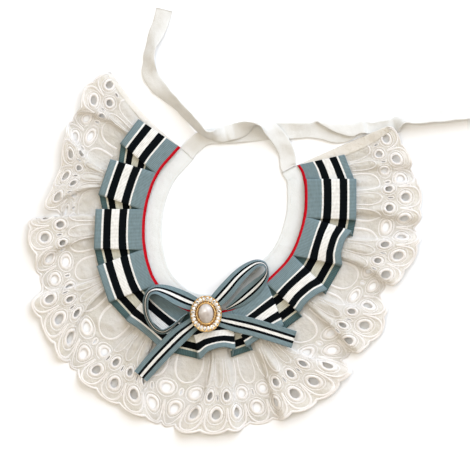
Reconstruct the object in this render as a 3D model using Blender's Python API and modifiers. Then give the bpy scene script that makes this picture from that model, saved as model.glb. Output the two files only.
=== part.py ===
"""A lace pet bandana, laid flat with its neck opening towards the middle.

A gathered flounce of eyelet lace and a box-pleated ribbon frill are sewn to a white neckband.
Each end of the neckband carries on as a tie. A narrow ribbon bow with an oval brooch sits on
the frill. The world's X runs to the right, Y away from the wearer's chest, and Z up.
The tables are in millimetres, measured from the middle of the neck opening.
"""

import math

import bpy
import numpy as np
from mathutils.geometry import delaunay_2d_cdt

MM = 0.001
GAP = 0.3
FLOOR = 0.0
# The middle of the whole part as it lies, which becomes the origin
MIDDLE = (24.3, 0.8)

# Neckband: a strip of folded bias tape, flat on the surface
BAND_THICK = 1.8
BAND_SHOWS = 11.4
BAND_UNDER_FRILL = 2.5
BAND_STATIONS = 49

# Ribbon frill
RIBBON_THICK = 1.0
FRILL_FLOOR_SEAM = 2.75
FRILL_FLOOR_EDGE = 2.45
FOLD_RADIUS = 0.7
SEAM_TUCK = 2.6
FRILL_ROWS = 5
PUFF = 0.3
SEAM_TOP = FRILL_FLOOR_SEAM + 4 * FOLD_RADIUS

# Lace flounce
LACE_THICK = 1.0
LACE_WIDTH = 85.0
LACE_EYELET_LINE = 70.0
LACE_FRILL_LINE = 38.0
LACE_LOW = 0.55
LACE_UNDER_PLEAT = 4.0
LACE_UNDER_END = 1.0
LACE_CORNER_HEIGHT = 6.8
REPEAT = 16.0
EDGE_EYELET = dict(width=74.5, radius=3.9, sides=8)
INNER_EYELET = dict(width=63.0, radius=3.1, sides=8)
SCALLOP_DEEP = 2.6
SCALLOP_STEPS = 5
# Rows of points across the lace, and how many each has to a repeat
LACE_ROWS = ((0, 2), (11, 2), (21, 2), (30, 3), (38, 4), (45, 5), (51, 5), (57, 5), (69, 5), (80, 4))
CLEAR_OF_EYELET = 1.6

# Ties and bow
TIE_WIDTH = 10.4
TIE_THICK = 1.8
TIE_FOLD_RADIUS = 1.4
BOW_THICK = 1.0

# Brooch
BROOCH_AT = (-11.2, -65.2)
BROOCH_BASE = 12.35
BROOCH_HALF = (11.2, 12.8)
PEARL_HALF = (5.4, 7.0)
PEARL_HIGH = 3.9
BROOCH_TURN = 2.0

# One row for each pleat of the frill, anticlockwise from its left end. seam_x and seam_y are where
# the pleat starts on the seam. lead and trail are the directions of its two edges in degrees, each
# with the distance that the edge reaches in plan. lift is the pleat's height at the free edge over
# the valley that follows it, crown what its middle adds, and hollow how far the middle of the free
# edge falls back towards the seam. floor_in and floor_out are how far the valley's two sides
# reach. lead_tuck and trail_tuck say how far each edge lies over its valley at the free edge;
# where it is negative, the edge slopes down over that width.
PLEATS = (
    dict(seam_x=-29.3, seam_y=52.7, lead=146.0, lead_reach=36.0, trail=138.8, trail_reach=35.0, lift=4.0,
         crown=0.4, hollow=0.0, floor_in=35.0, floor_out=29.5, lead_tuck=0.0, trail_tuck=-3.0),
    dict(seam_x=-45.2, seam_y=33.4, lead=163.2, lead_reach=35.6, trail=160.2, trail_reach=35.9, lift=4.4,
         crown=0.5, hollow=0.0, floor_in=35.9, floor_out=31.2, lead_tuck=1.8, trail_tuck=-3.0),
    dict(seam_x=-53.5, seam_y=8.2, lead=180.0, lead_reach=36.0, trail=178.3, trail_reach=37.0, lift=4.4,
         crown=0.5, hollow=0.0, floor_in=37.0, floor_out=36.0, lead_tuck=1.8, trail_tuck=-3.0),
    dict(seam_x=-53.7, seam_y=-19.3, lead=200.3, lead_reach=37.0, trail=199.2, trail_reach=37.4, lift=4.4,
         crown=0.6, hollow=0.0, floor_in=37.4, floor_out=34.5, lead_tuck=1.6, trail_tuck=-3.0),
    dict(seam_x=-45.1, seam_y=-43.7, lead=230.2, lead_reach=34.5, trail=235.7, trail_reach=35.0, lift=5.0,
         crown=0.8, hollow=1.0, floor_in=35.5, floor_out=37.0, lead_tuck=-3.0, trail_tuck=-3.0),
    dict(seam_x=-23.4, seam_y=-61.4, lead=283.0, lead_reach=36.5, trail=274.4, trail_reach=29.0, lift=5.8,
         crown=1.8, hollow=3.6, floor_in=34.0, floor_out=33.0, lead_tuck=-4.0, trail_tuck=1.6),
    dict(seam_x=6.4, seam_y=-61.1, lead=293.4, lead_reach=29.5, trail=291.5, trail_reach=34.0, lift=5.2,
         crown=0.8, hollow=0.6, floor_in=37.0, floor_out=36.5, lead_tuck=1.4, trail_tuck=1.6),
    dict(seam_x=30.5, seam_y=-41.9, lead=318.4, lead_reach=33.0, trail=315.0, trail_reach=36.2, lift=5.2,
         crown=1.2, hollow=2.0, floor_in=37.3, floor_out=37.8, lead_tuck=-3.0, trail_tuck=1.8),
    dict(seam_x=48.3, seam_y=-22.7, lead=348.8, lead_reach=37.4, trail=342.6, trail_reach=35.6, lift=5.0,
         crown=1.2, hollow=2.6, floor_in=37.4, floor_out=37.6, lead_tuck=-3.0, trail_tuck=1.8),
    dict(seam_x=57.5, seam_y=3.6, lead=357.6, lead_reach=37.5, trail=360.0, trail_reach=37.2, lift=4.4,
         crown=0.6, hollow=0.0, floor_in=36.2, floor_out=34.4, lead_tuck=-2.0, trail_tuck=1.8),
)
# The ribbon's right-hand end comes out from under the last pleat
FRILL_END = dict(seam_x=57.9, seam_y=29.6, end_x=53.2, end_y=40.2, lead=372.8)

# One row for each fold of the lace, in step with the frill's pleats. lead, middle and trail are
# where the fold's shoulders and middle stand at the lace's edge: directions from the middle of
# the neck opening, with their distances. rise is the shoulders' height, and dip the share of it
# that the middle keeps. lead_foot and trail_foot are how many degrees outside them the fold comes
# down, and valley how far out the lace lies in the valley that follows. lead_in and trail_in are
# how far inside the pleat's edges the shoulders leave the frill.
LACE_FOLDS = (
    dict(lead=128.6, lead_far=134.0, middle_far=135.6, trail=141.0, trail_far=129.5, rise=6.0, dip=0.75,
         lead_foot=2.0, trail_foot=2.6, valley=128.5, lead_in=0.5, trail_in=8.0),
    dict(lead=150.0, lead_far=127.8, middle_far=121.0, trail=174.6, trail_far=125.3, rise=8.0, dip=0.55,
         lead_foot=2.6, trail_foot=2.4, valley=115.0, lead_in=8.0, trail_in=4.4),
    dict(lead=179.6, lead_far=135.6, middle_far=137.0, trail=191.0, trail_far=134.5, rise=5.5, dip=0.8,
         lead_foot=1.2, trail_foot=3.4, valley=135.5, lead_in=4.6, trail_in=8.0),
    dict(lead=203.4, lead_far=146.0, middle_far=147.0, trail=219.0, trail_far=149.0, rise=5.2, dip=0.5,
         lead_foot=3.4, trail_foot=3.0, valley=148.0, lead_in=8.0, trail_in=8.0),
    dict(lead=229.0, lead_far=149.5, middle_far=149.5, trail=247.0, trail_far=149.0, rise=5.4, dip=0.4,
         lead_foot=3.6, trail_foot=4.0, valley=149.5, lead_in=8.0, trail_in=8.0),
    dict(lead=260.5, lead_far=150.5, middle_far=149.5, trail=273.5, trail_far=148.0, rise=6.6, dip=0.7,
         lead_foot=4.0, trail_foot=3.0, valley=145.5, lead_in=8.0, trail_in=6.0),
    dict(lead=288.0, lead_far=145.0, middle_far=144.2, trail=310.2, trail_far=139.4, rise=8.0, dip=0.6,
         lead_foot=2.2, trail_foot=1.2, valley=130.5, lead_in=6.0, trail_in=8.0),
    dict(lead=316.5, lead_far=133.2, middle_far=136.6, trail=331.5, trail_far=132.5, rise=6.4, dip=0.7,
         lead_foot=1.8, trail_foot=3.0, valley=124.5, lead_in=8.0, trail_in=6.0),
    dict(lead=340.2, lead_far=129.6, middle_far=136.5, trail=354.6, trail_far=140.5, rise=7.4, dip=0.75,
         lead_foot=1.4, trail_foot=2.4, valley=137.5, lead_in=5.0, trail_in=5.0),
    dict(lead=361.6, lead_far=140.5, middle_far=141.5, trail=371.6, trail_far=142.0, rise=5.8, dip=0.75,
         lead_foot=2.6, trail_foot=1.8, valley=139.5, lead_in=5.0, trail_in=8.0),
    dict(lead=377.4, lead_far=140.5, middle_far=139.5, trail=388.6, trail_far=138.0, rise=5.4, dip=0.8,
         lead_foot=2.0, trail_foot=1.4, valley=136.5, lead_in=8.0, trail_in=4.5),
)
# Where a fold's foot, shoulder, middle, shoulder and foot start, as shares of its stretch of seam
FOLD_PLACES = (0.06, 0.28, 0.5, 0.72, 0.94)
# How far out the pleats reach, near enough, where the lace comes out from under them
PLEAT_REACH = 37.0
# How much nearer the pleat's edge a fold's foot leaves the frill than its shoulder
FOOT_OUTSIDE = 3.6
# How far the lace's cut ends stand out past the frill's, left and right
LACE_PAST_FRILL = (5.5, 3.4)

# Each tie is a strip that turns over along its way. roll is how far it has turned about its
# middle, in degrees, and over how much of its width has rolled over its left-hand edge. on is the
# height of what it lies on.
LEFT_TIE = (
    dict(x=-24.7, y=49.3, roll=0, over=0, on=0), dict(x=-23.3, y=51.0, roll=0, over=0, on=0),
    dict(x=-19.6, y=54.7, roll=0, over=0, on=0), dict(x=-14.6, y=58.6, roll=0, over=0, on=0),
    dict(x=-9.4, y=60.8, roll=0, over=0, on=0), dict(x=-3.0, y=61.2, roll=0, over=0, on=0),
    dict(x=5.0, y=61.4, roll=0, over=0, on=0), dict(x=17.0, y=62.5, roll=0, over=0, on=0),
    dict(x=30.0, y=63.9, roll=0, over=0, on=0), dict(x=38.0, y=64.6, roll=0, over=0, on=0),
    dict(x=46.0, y=64.6, roll=4, over=0, on=0), dict(x=55.0, y=64.9, roll=14, over=0, on=0),
    dict(x=64.0, y=64.8, roll=4, over=0.4, on=0),
    dict(x=71.0, y=64.7, roll=0, over=5.2, on=0, width=16.0),
    dict(x=78.0, y=64.4, roll=0, over=8.8, on=0, width=21.4),
    dict(x=85.0, y=64.0, roll=0, over=11.0, on=0, width=23.6),
    dict(x=92.0, y=63.8, roll=0, over=12.4, on=0, width=22.4),
    dict(x=98.0, y=64.4, roll=0, over=10.8, on=0, width=15.4),
    dict(x=104.0, y=65.6, roll=0, over=12.2, on=0, width=7.8),
    dict(x=112.0, y=66.0, roll=0, over=13.0, on=0, width=8.6),
    dict(x=121.5, y=67.8, roll=0, over=14.8, on=0), dict(x=129.0, y=69.4, roll=-64, over=14.8, on=0),
    dict(x=138.0, y=70.2, roll=-56, over=14.8, on=0), dict(x=152.0, y=72.4, roll=-46, over=14.8, on=0),
    dict(x=176.0, y=75.5, roll=-38, over=14.8, on=0), dict(x=186.0, y=76.7, roll=-36, over=14.8, on=0),
)
RIGHT_TIE = (
    dict(x=47.6, y=38.7, roll=0, on=0), dict(x=46.9, y=40.2, roll=0, on=0),
    dict(x=46.4, y=46.8, roll=0, on=0), dict(x=43.6, y=54.0, roll=0, on=1.5),
    dict(x=39.0, y=60.8, roll=8, on=2.2), dict(x=34.0, y=66.0, roll=26, on=2.1),
    dict(x=28.8, y=69.0, roll=58, on=2.1),
    dict(x=23.6, y=69.2, roll=96, on=2.1), dict(x=18.0, y=67.2, roll=136, on=2.1),
    dict(x=12.0, y=64.9, roll=166, on=2.1), dict(x=5.0, y=63.4, roll=186, on=2.1),
    dict(x=-1.5, y=61.6, roll=158, on=2.1), dict(x=-6.6, y=60.9, roll=122, on=2.1),
    dict(x=-12.0, y=62.4, roll=110, on=2.1), dict(x=-18.3, y=68.3, roll=117, on=1.8),
    dict(x=-25.1, y=75.9, roll=120, on=0), dict(x=-32.2, y=83.3, roll=126, on=0),
    dict(x=-39.7, y=90.2, roll=139, on=0), dict(x=-46.5, y=97.5, roll=164, on=0),
    dict(x=-51.1, y=105.3, roll=168, on=0), dict(x=-51.8, y=113.8, roll=136, on=0),
    dict(x=-50.6, y=123.6, roll=134, on=0), dict(x=-46.6, y=133.6, roll=156, on=0),
    dict(x=-43.2, y=142.0, roll=172, on=0), dict(x=-40.8, y=150.8, roll=180, on=0),
)

# The bow's ribbon, from under the brooch and back. width narrows where it is gathered.
LEFT_LOOP = (
    dict(x=-17.6, y=-58.4, roll=4, on=9.4, width=8.5), dict(x=-23.8, y=-56.2, roll=10, on=9.4, width=11.0),
    dict(x=-31.2, y=-52.9, roll=24, on=9.2, width=12.0), dict(x=-39.0, y=-49.4, roll=42, on=9.0, width=12.0),
    dict(x=-46.2, y=-47.7, roll=60, on=8.2, width=12.0), dict(x=-51.2, y=-49.6, roll=70, on=8.0, width=12.0),
    dict(x=-53.6, y=-54.4, roll=72, on=7.8, width=12.0), dict(x=-53.8, y=-61.0, roll=72, on=8.1, width=12.0),
    dict(x=-51.8, y=-68.6, roll=72, on=8.6, width=12.0), dict(x=-47.2, y=-75.2, roll=72, on=8.8, width=12.0),
    dict(x=-41.4, y=-77.4, roll=74, on=8.6, width=12.0), dict(x=-35.8, y=-74.4, roll=78, on=8.2, width=11.0),
    dict(x=-31.2, y=-70.2, roll=82, on=7.6, width=8.6), dict(x=-27.4, y=-66.6, roll=84, on=7.4, width=6.0),
    dict(x=-24.0, y=-64.4, roll=80, on=7.6, width=4.0),
)
RIGHT_LOOP = (
    dict(x=-7.4, y=-58.8, roll=-6, on=9.4, width=8.0), dict(x=-2.6, y=-54.4, roll=-14, on=9.4, width=10.4),
    dict(x=4.0, y=-47.2, roll=-28, on=9.0, width=12.0), dict(x=11.2, y=-39.0, roll=-40, on=7.0, width=12.0),
    dict(x=18.4, y=-32.8, roll=-52, on=5.0, width=12.0), dict(x=24.6, y=-29.3, roll=-66, on=4.4, width=12.0),
    dict(x=29.4, y=-29.6, roll=-76, on=5.0, width=12.0), dict(x=31.6, y=-33.2, roll=-80, on=6.6, width=12.0),
    dict(x=30.2, y=-38.2, roll=-74, on=6.5, width=12.0), dict(x=25.4, y=-44.4, roll=-62, on=6.6, width=12.0),
    dict(x=18.8, y=-50.2, roll=-56, on=6.6, width=12.0), dict(x=12.4, y=-55.2, roll=-58, on=6.6, width=10.0),
    dict(x=7.0, y=-58.6, roll=-64, on=6.6, width=7.0), dict(x=3.0, y=-61.0, roll=-70, on=6.6, width=4.4),
)
LEFT_TAIL = (
    dict(x=-15.8, y=-68.6, roll=0, on=8.2, width=8.0), dict(x=-21.2, y=-73.0, roll=0, on=8.2, width=9.6),
    dict(x=-29.8, y=-79.8, roll=-4, on=8.0, width=12.0), dict(x=-39.0, y=-88.8, roll=-4, on=7.9, width=12.0),
    dict(x=-49.0, y=-99.4, roll=-8, on=6.5, width=12.0),
    dict(x=-57.5, y=-109.2, roll=-22, on=4.4, width=12.0),
)
RIGHT_TAIL = (
    dict(x=-6.0, y=-67.4, roll=0, on=8.4, width=8.0), dict(x=0.6, y=-69.4, roll=0, on=8.9, width=9.6),
    dict(x=9.4, y=-71.4, roll=2, on=9.0, width=12.0), dict(x=22.4, y=-74.5, roll=3, on=9.3, width=12.0),
    dict(x=37.0, y=-78.8, roll=0, on=9.2, width=12.0), dict(x=51.0, y=-83.2, roll=-4, on=8.4, width=12.0),
)


def through(rows, at, knots=None):
    """Points of a smooth curve through the rows, at the given row numbers or places between knots."""
    rows, at = np.asarray(rows, float), np.atleast_1d(np.asarray(at, float))
    knots = np.arange(len(rows), dtype=float) if knots is None else knots
    first = np.clip(np.searchsorted(knots, at, side="right") - 1, 0, len(rows) - 2)
    span = np.diff(knots)[:, None]
    rise = np.diff(rows, axis=0)
    inner = (rise[:-1] + rise[1:]) / (span[:-1] + span[1:])
    slope = np.concatenate([rise[:1] / span[:1], inner, rise[-1:] / span[-1:]])
    step = span[first]
    share = (at - knots[first])[:, None] / step
    start, end = rows[first], rows[first + 1]
    out = slope[first] * step * share * (1 - share) ** 2
    back = slope[first + 1] * step * share**2 * (1 - share)
    return start + (end - start) * share**2 * (3 - 2 * share) + out - back


def along(points):
    """The distance of each point along the line through them."""
    steps = np.linalg.norm(np.diff(points, axis=0), axis=1)
    return np.concatenate([[0.0], np.cumsum(steps)])


def column(table, *names):
    """The named columns of a table, as an array with a row for each of its rows."""
    return np.array([[row[name] for name in names] for row in table], float)


def towards(degrees):
    """The unit vector in plan in a direction."""
    return np.array([math.cos(math.radians(degrees)), math.sin(math.radians(degrees))])


def unit(vector):
    """The vector at length one."""
    return vector / np.linalg.norm(vector)


class Seam:
    """The line where the frill's inner edge is stitched to the neckband."""

    def __init__(self):
        corners = [(row["seam_x"], row["seam_y"]) for row in (*PLEATS, FRILL_END)]
        corners.append((FRILL_END["end_x"], FRILL_END["end_y"]))
        self.row = np.linspace(0, len(corners) - 1, 45 * (len(corners) - 1) + 1)
        self.line = through(corners, self.row)
        self.length = along(self.line)
        self.corner = np.interp(range(len(corners)), self.row, self.length)

    def point(self, length, out=0.0):
        """The point at a distance along the seam, moved outwards by out."""
        x, y = (np.interp(length, self.length, self.line[:, k]) for k in (0, 1))
        slope = [
            np.interp(length + 0.5, self.length, self.line[:, k])
            - np.interp(length - 0.5, self.length, self.line[:, k])
            for k in (0, 1)
        ]
        slope = unit(np.array(slope))
        return np.array([x + slope[1] * out, y - slope[0] * out])


SEAM = Seam()


def material(name, colour, roughness, metallic=0.0):
    """A plain finish for one piece."""
    made = bpy.data.materials.new(name)
    made.use_nodes = True
    shader = made.node_tree.nodes["Principled BSDF"]
    shader.inputs["Base Color"].default_value = (*colour, 1)
    shader.inputs["Roughness"].default_value = roughness
    shader.inputs["Metallic"].default_value = metallic
    return made


def new_object(name, mesh, finish):
    """Puts a mesh in the bandana's collection, with the part's middle at the origin."""
    for vertex in mesh.vertices:
        vertex.co.x -= MIDDLE[0] * MM
        vertex.co.y -= MIDDLE[1] * MM
    piece = bpy.data.objects.new(name, mesh)
    PIECES.objects.link(piece)
    mesh.materials.append(finish)
    mesh.shade_smooth()
    return piece


def cloth(name, points, faces, thick, finish, even=True):
    """A piece of cloth: a sheet through the points with a wall of the given thickness.

    The wall lies half on each side of the sheet, and its underside is flat where it rests.
    """
    sheet = bpy.data.meshes.new(name + "_sheet")
    sheet.from_pydata([tuple(p * MM) for p in np.asarray(points, float)], [], faces)
    guide = bpy.data.objects.new(name + "_guide", sheet)
    PIECES.objects.link(guide)
    wall = guide.modifiers.new("Wall", "SOLIDIFY")
    wall.thickness = thick * MM
    wall.offset = 0
    wall.use_even_offset = even
    bpy.context.view_layer.update()
    graph = bpy.context.evaluated_depsgraph_get()
    mesh = bpy.data.meshes.new_from_object(guide.evaluated_get(graph))
    mesh.name = name
    for vertex in mesh.vertices:
        vertex.co.z = max(vertex.co.z, FLOOR)
    bpy.data.objects.remove(guide)
    return new_object(name, mesh, finish)


def grid_faces(columns, rows):
    """Quads over a grid whose points are listed column by column, facing up anticlockwise."""
    faces = []
    for i in range(columns - 1):
        for j in range(rows - 1):
            a = i * rows + j
            faces.append((a, a + rows, a + rows + 1, a + 1))
    return faces


def build_neckband(finish):
    """The band: a flat strip from the neck's edge to just under the frill."""
    points = []
    for length in np.linspace(0, SEAM.length[-1], BAND_STATIONS):
        for out in (-BAND_SHOWS, BAND_UNDER_FRILL):
            points.append((*SEAM.point(length, out), BAND_THICK / 2))
    return cloth("neckband", points, grid_faces(BAND_STATIONS, 2), BAND_THICK, finish)


def edge_of(corner, degrees, reach):
    """The free end of a pleat's edge that starts at a corner of the seam."""
    return SEAM.point(SEAM.corner[corner]) + reach * towards(degrees)


def fold_section(tuck, height, slope):
    """The six points of a pleat's edge, from the valley up to the pleat's top.

    Each is the distance in from the edge and the height over the valley. A tucked edge doubles
    back under the pleat, and one with no tuck comes up in a slope.
    """
    r = FOLD_RADIUS
    folded = np.array([
        (tuck, 0), (tuck + r, r), (tuck, 2 * r), (0, height - 2 * r), (-r, height - r), (0, height),
    ])
    heights = np.array([0, 0.1, 0.32, 0.7, 0.93, 1.0])
    places = np.array([-1.0, -0.72, -0.5, -0.28, -0.1, 0.12])
    sloped = np.column_stack([places * slope, heights * height])
    return folded if slope == 0 else sloped


def frill_columns():
    """The ribbon's pleated length as columns: place on the seam, height there, free end."""
    columns = []

    def add(seam_length, seam_height, free, free_height, puff=0.0):
        columns.append((seam_length, seam_height, *free, free_height, puff))

    for k, pleat in enumerate(PLEATS):
        last = k == len(PLEATS) - 1
        start, end = SEAM.corner[k], SEAM.corner[k + 1]
        lead_end = edge_of(k, pleat["lead"], pleat["lead_reach"])
        trail_end = edge_of(k + 1, pleat["trail"], pleat["trail_reach"])
        forward = unit(trail_end - lead_end)
        top = FRILL_FLOOR_EDGE + pleat["lift"]
        floor_start = edge_of(k + 1, pleat["trail"], pleat["floor_in"])
        if last:
            floor_end = SEAM.point(SEAM.length[-1]) + pleat["floor_out"] * towards(FRILL_END["lead"])
        else:
            floor_end = edge_of(k + 1, PLEATS[k + 1]["lead"], pleat["floor_out"])
        onward = unit(floor_end - floor_start)
        if k == 0:
            add(start, SEAM_TOP, lead_end, top)
        back = np.array([-forward[1], forward[0]]) * pleat["hollow"]
        for share in (0.28, 0.72):
            free = lead_end + (trail_end - lead_end) * share + back
            add(start + (end - start) * share, SEAM_TOP, free, top + pleat["crown"], pleat["crown"] * PUFF)
        at_seam = fold_section(SEAM_TUCK, SEAM_TOP - FRILL_FLOOR_SEAM, 0)
        tuck = pleat["trail_tuck"]
        at_edge = fold_section(max(tuck, 0), pleat["lift"], max(-tuck, 0))
        for n, ((inside, height), (free_in, free_height)) in enumerate(zip(at_seam[::-1], at_edge[::-1])):
            ends = trail_end - forward * free_in if n < 3 else floor_start - onward * free_in
            add(end - inside, FRILL_FLOOR_SEAM + height, ends, FRILL_FLOOR_EDGE + free_height)
        if last:
            for share in (0.5, 1.0):
                free = floor_start + (floor_end - floor_start) * share
                add(end + (SEAM.length[-1] - end) * share, FRILL_FLOOR_SEAM, free, FRILL_FLOOR_EDGE)
            continue
        add(end, FRILL_FLOOR_SEAM, (floor_start + floor_end) / 2, FRILL_FLOOR_EDGE)
        following = PLEATS[k + 1]
        tuck = following["lead_tuck"]
        at_edge = fold_section(max(tuck, 0), following["lift"], max(-tuck, 0))
        next_lead = edge_of(k + 1, following["lead"], following["lead_reach"])
        next_trail = edge_of(k + 2, following["trail"], following["trail_reach"])
        next_forward = unit(next_trail - next_lead)
        for n, ((inside, height), (free_in, free_height)) in enumerate(zip(at_seam, at_edge)):
            ends = floor_end + onward * free_in if n < 3 else next_lead + next_forward * free_in
            add(end + inside, FRILL_FLOOR_SEAM + height, ends, FRILL_FLOOR_EDGE + free_height)
    return np.array(columns)


def build_frill(finish):
    """The wide ribbon in its box pleats, as a wall lofted from the seam to the free edge."""
    columns = frill_columns()
    points = []
    for seam_length, seam_height, x, y, free_height, puff in columns:
        inner = np.array([*SEAM.point(seam_length), seam_height])
        outer = np.array([x, y, free_height])
        for share in np.linspace(0, 1, FRILL_ROWS):
            point = inner + (outer - inner) * share
            point[2] += puff * math.sin(math.pi * share)
            points.append(point)
    return cloth("ribbon_frill", points, grid_faces(len(columns), FRILL_ROWS), RIBBON_THICK, finish)


class Flounce:
    """The lace strip: flat lengths and widths, and where they lie once gathered and folded."""

    def __init__(self):
        seam, frill, edge = [], [], []
        valley = LACE_FOLDS[0]["lead_far"]
        for k, fold in enumerate(LACE_FOLDS):
            start, end = SEAM.corner[k], SEAM.corner[k + 1]
            lead, trail = self.frill_edges(k)
            forward = unit(trail - lead)
            first, last = k == 0, k == len(LACE_FOLDS) - 1
            crest = LACE_UNDER_END if last else LACE_UNDER_PLEAT
            middle = (fold["lead"] + fold["trail"]) / 2
            sunk = LACE_LOW + (fold["rise"] - LACE_LOW) * fold["dip"]
            corner = LACE_CORNER_HEIGHT if last else LACE_LOW
            lead_in, trail_in = fold["lead_in"], fold["trail_in"]
            lead_foot = -LACE_PAST_FRILL[0] if first else lead_in - FOOT_OUTSIDE
            trail_foot = -LACE_PAST_FRILL[1] if last else trail_in - FOOT_OUTSIDE
            places = FOLD_PLACES
            columns = (
                (places[0], lead + forward * lead_foot, LACE_LOW, fold["lead"] - fold["lead_foot"],
                 valley, LACE_LOW),
                (places[1], lead + forward * lead_in, crest, fold["lead"], fold["lead_far"], fold["rise"]),
                (places[2], (lead + trail) / 2, crest, middle, fold["middle_far"], sunk),
                (places[3], trail - forward * trail_in, crest, fold["trail"], fold["trail_far"],
                 fold["rise"]),
                (places[4], trail - forward * trail_foot, LACE_LOW, fold["trail"] + fold["trail_foot"],
                 fold["valley"], corner),
            )
            valley = fold["valley"]
            for place, under, under_height, degrees, far, height in columns:
                seam.append((*SEAM.point(start + (end - start) * place, self.inner()), LACE_LOW))
                frill.append((*under, under_height))
                edge.append((*(far * towards(degrees)), height))
        seam[0] = (*SEAM.point(0, self.inner()), LACE_LOW)
        seam[-1] = (*SEAM.point(SEAM.length[-1], self.inner()), LACE_LOW)
        self.rings = (np.array(seam), np.array(frill), np.array(edge))
        self.knots = along(self.rings[2])
        fine = np.linspace(0, self.knots[-1], 40 * len(seam) + 1)
        length = along(self.place(fine, np.full(len(fine), EDGE_EYELET["width"])))
        self.repeats = round(length[-1] / REPEAT)
        self.length = self.repeats * REPEAT
        self.flat_knots = (length * self.length / length[-1], fine)

    def knot_at(self, flat):
        """Where a flat length of the lace lies along its folds."""
        return np.interp(flat, *self.flat_knots)

    @staticmethod
    def inner():
        """How far outside the seam the lace starts."""
        return BAND_UNDER_FRILL + GAP

    @staticmethod
    def frill_edges(k):
        """The two ends of a pleat at the frill's free edge."""
        if k < len(PLEATS):
            pleat = PLEATS[k]
            lead = edge_of(k, pleat["lead"], PLEAT_REACH)
            return lead, edge_of(k + 1, pleat["trail"], PLEAT_REACH)
        lead = edge_of(k, 360.0, PLEAT_REACH)
        return lead, SEAM.point(SEAM.length[-1]) + PLEAT_REACH * towards(FRILL_END["lead"] + 6)

    def place(self, knot, width):
        """Points of the lace at places along its folds and widths from the seam."""
        share = (width / LACE_WIDTH)[:, None]
        middle = LACE_FRILL_LINE / LACE_WIDTH
        seam, frill, edge = (through(ring, knot, self.knots) for ring in self.rings)
        weights = (
            (share - middle) * (share - 1) / middle,
            share * (share - 1) / (middle * (middle - 1)),
            share * (share - middle) / (1 - middle),
        )
        points = seam * weights[0] + frill * weights[1] + edge * weights[2]
        points[:, 2] = np.maximum(points[:, 2], LACE_THICK / 2)
        return points

    def edge_width(self, flat):
        """The lace's scalloped width at a flat length: one round lobe to each repeat."""
        share = (flat / REPEAT) % 1.0
        return LACE_WIDTH + SCALLOP_DEEP * (math.sqrt(math.sin(math.pi * share)) - 0.6)

    def eyelets(self):
        """(length, width, radius, sides) of each eyelet, two staggered rows."""
        found = []
        for n in range(self.repeats):
            found.append(((n + 0.5) * REPEAT, *EDGE_EYELET.values()))
            if n:
                found.append((n * REPEAT, *INNER_EYELET.values()))
        return found

    def row_of_points(self, row):
        """The evenly spaced flat points of one row across the lace."""
        width, count = LACE_ROWS[row]
        return [(flat, float(width)) for flat in np.linspace(0, self.length, self.repeats * count + 1)]

    def flat_mesh(self):
        """The flat strip with its eyelets cut out, as points and triangles."""
        rows = [self.row_of_points(n) for n in range(len(LACE_ROWS))]
        flats = np.linspace(0, self.length, self.repeats * SCALLOP_STEPS + 1)[::-1]
        outline = list(rows[0]) + [row[-1] for row in rows[1:]]
        outline += [(flat, self.edge_width(flat)) for flat in flats]
        outline += [row[0] for row in rows[:0:-1]]
        points, loops = list(outline), [list(range(len(outline)))]
        for flat, width, radius, sides in self.eyelets():
            loops.append(list(range(len(points), len(points) + sides)))
            for n in range(sides):
                turn = 2 * math.pi * (n + 0.5) / sides
                points.append((flat + radius * math.cos(turn), width + radius * math.sin(turn)))
        for row in rows[1:]:
            points += [spot for spot in row[1:-1] if self.clear(spot)]
        edges = [(a, b) for loop in loops for a, b in zip(loop, loop[1:] + loop[:1])]
        made, _, triangles, *_ = delaunay_2d_cdt(points, edges, [], 1, 1e-6)
        made = np.array([tuple(p) for p in made])
        holes = np.array([(flat, width) for flat, width, *_ in self.eyelets()])
        radii = np.array([radius for *_, radius, _ in self.eyelets()])
        kept = []
        for triangle in triangles:
            away = np.linalg.norm(holes - made[list(triangle)].mean(axis=0), axis=1)
            if (away > radii * 0.92).all():
                kept.append(tuple(triangle))
        return made, kept

    def clear(self, spot):
        """Whether a grid point keeps clear of every eyelet."""
        return all(
            math.hypot(spot[0] - flat, spot[1] - width) > radius + CLEAR_OF_EYELET
            for flat, width, radius, _ in self.eyelets()
        )


def build_flounce(finish):
    """The lace, cut flat with its eyelets and then folded round the neckband."""
    lace = Flounce()
    flat, faces = lace.flat_mesh()
    points = lace.place(lace.knot_at(flat[:, 0]), flat[:, 1])
    return cloth("lace_flounce", points, faces, LACE_THICK, finish, even=False)


def rolled_over(across, half, over):
    """A strip's section, in and up, once some of its width has rolled over its far edge.

    Args:
        across: places over the strip's width, from -half to half.
        half: half of the width.
        over: how much of the width has passed the edge.
    """
    past = across - (half - over)
    turn = np.clip(past / TIE_FOLD_RADIUS, 0, math.pi)
    flat = half + np.minimum(past, 0) - np.maximum(past - math.pi * TIE_FOLD_RADIUS, 0)
    return flat + TIE_FOLD_RADIUS * np.sin(turn), TIE_FOLD_RADIUS * (1 - np.cos(turn))


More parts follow.
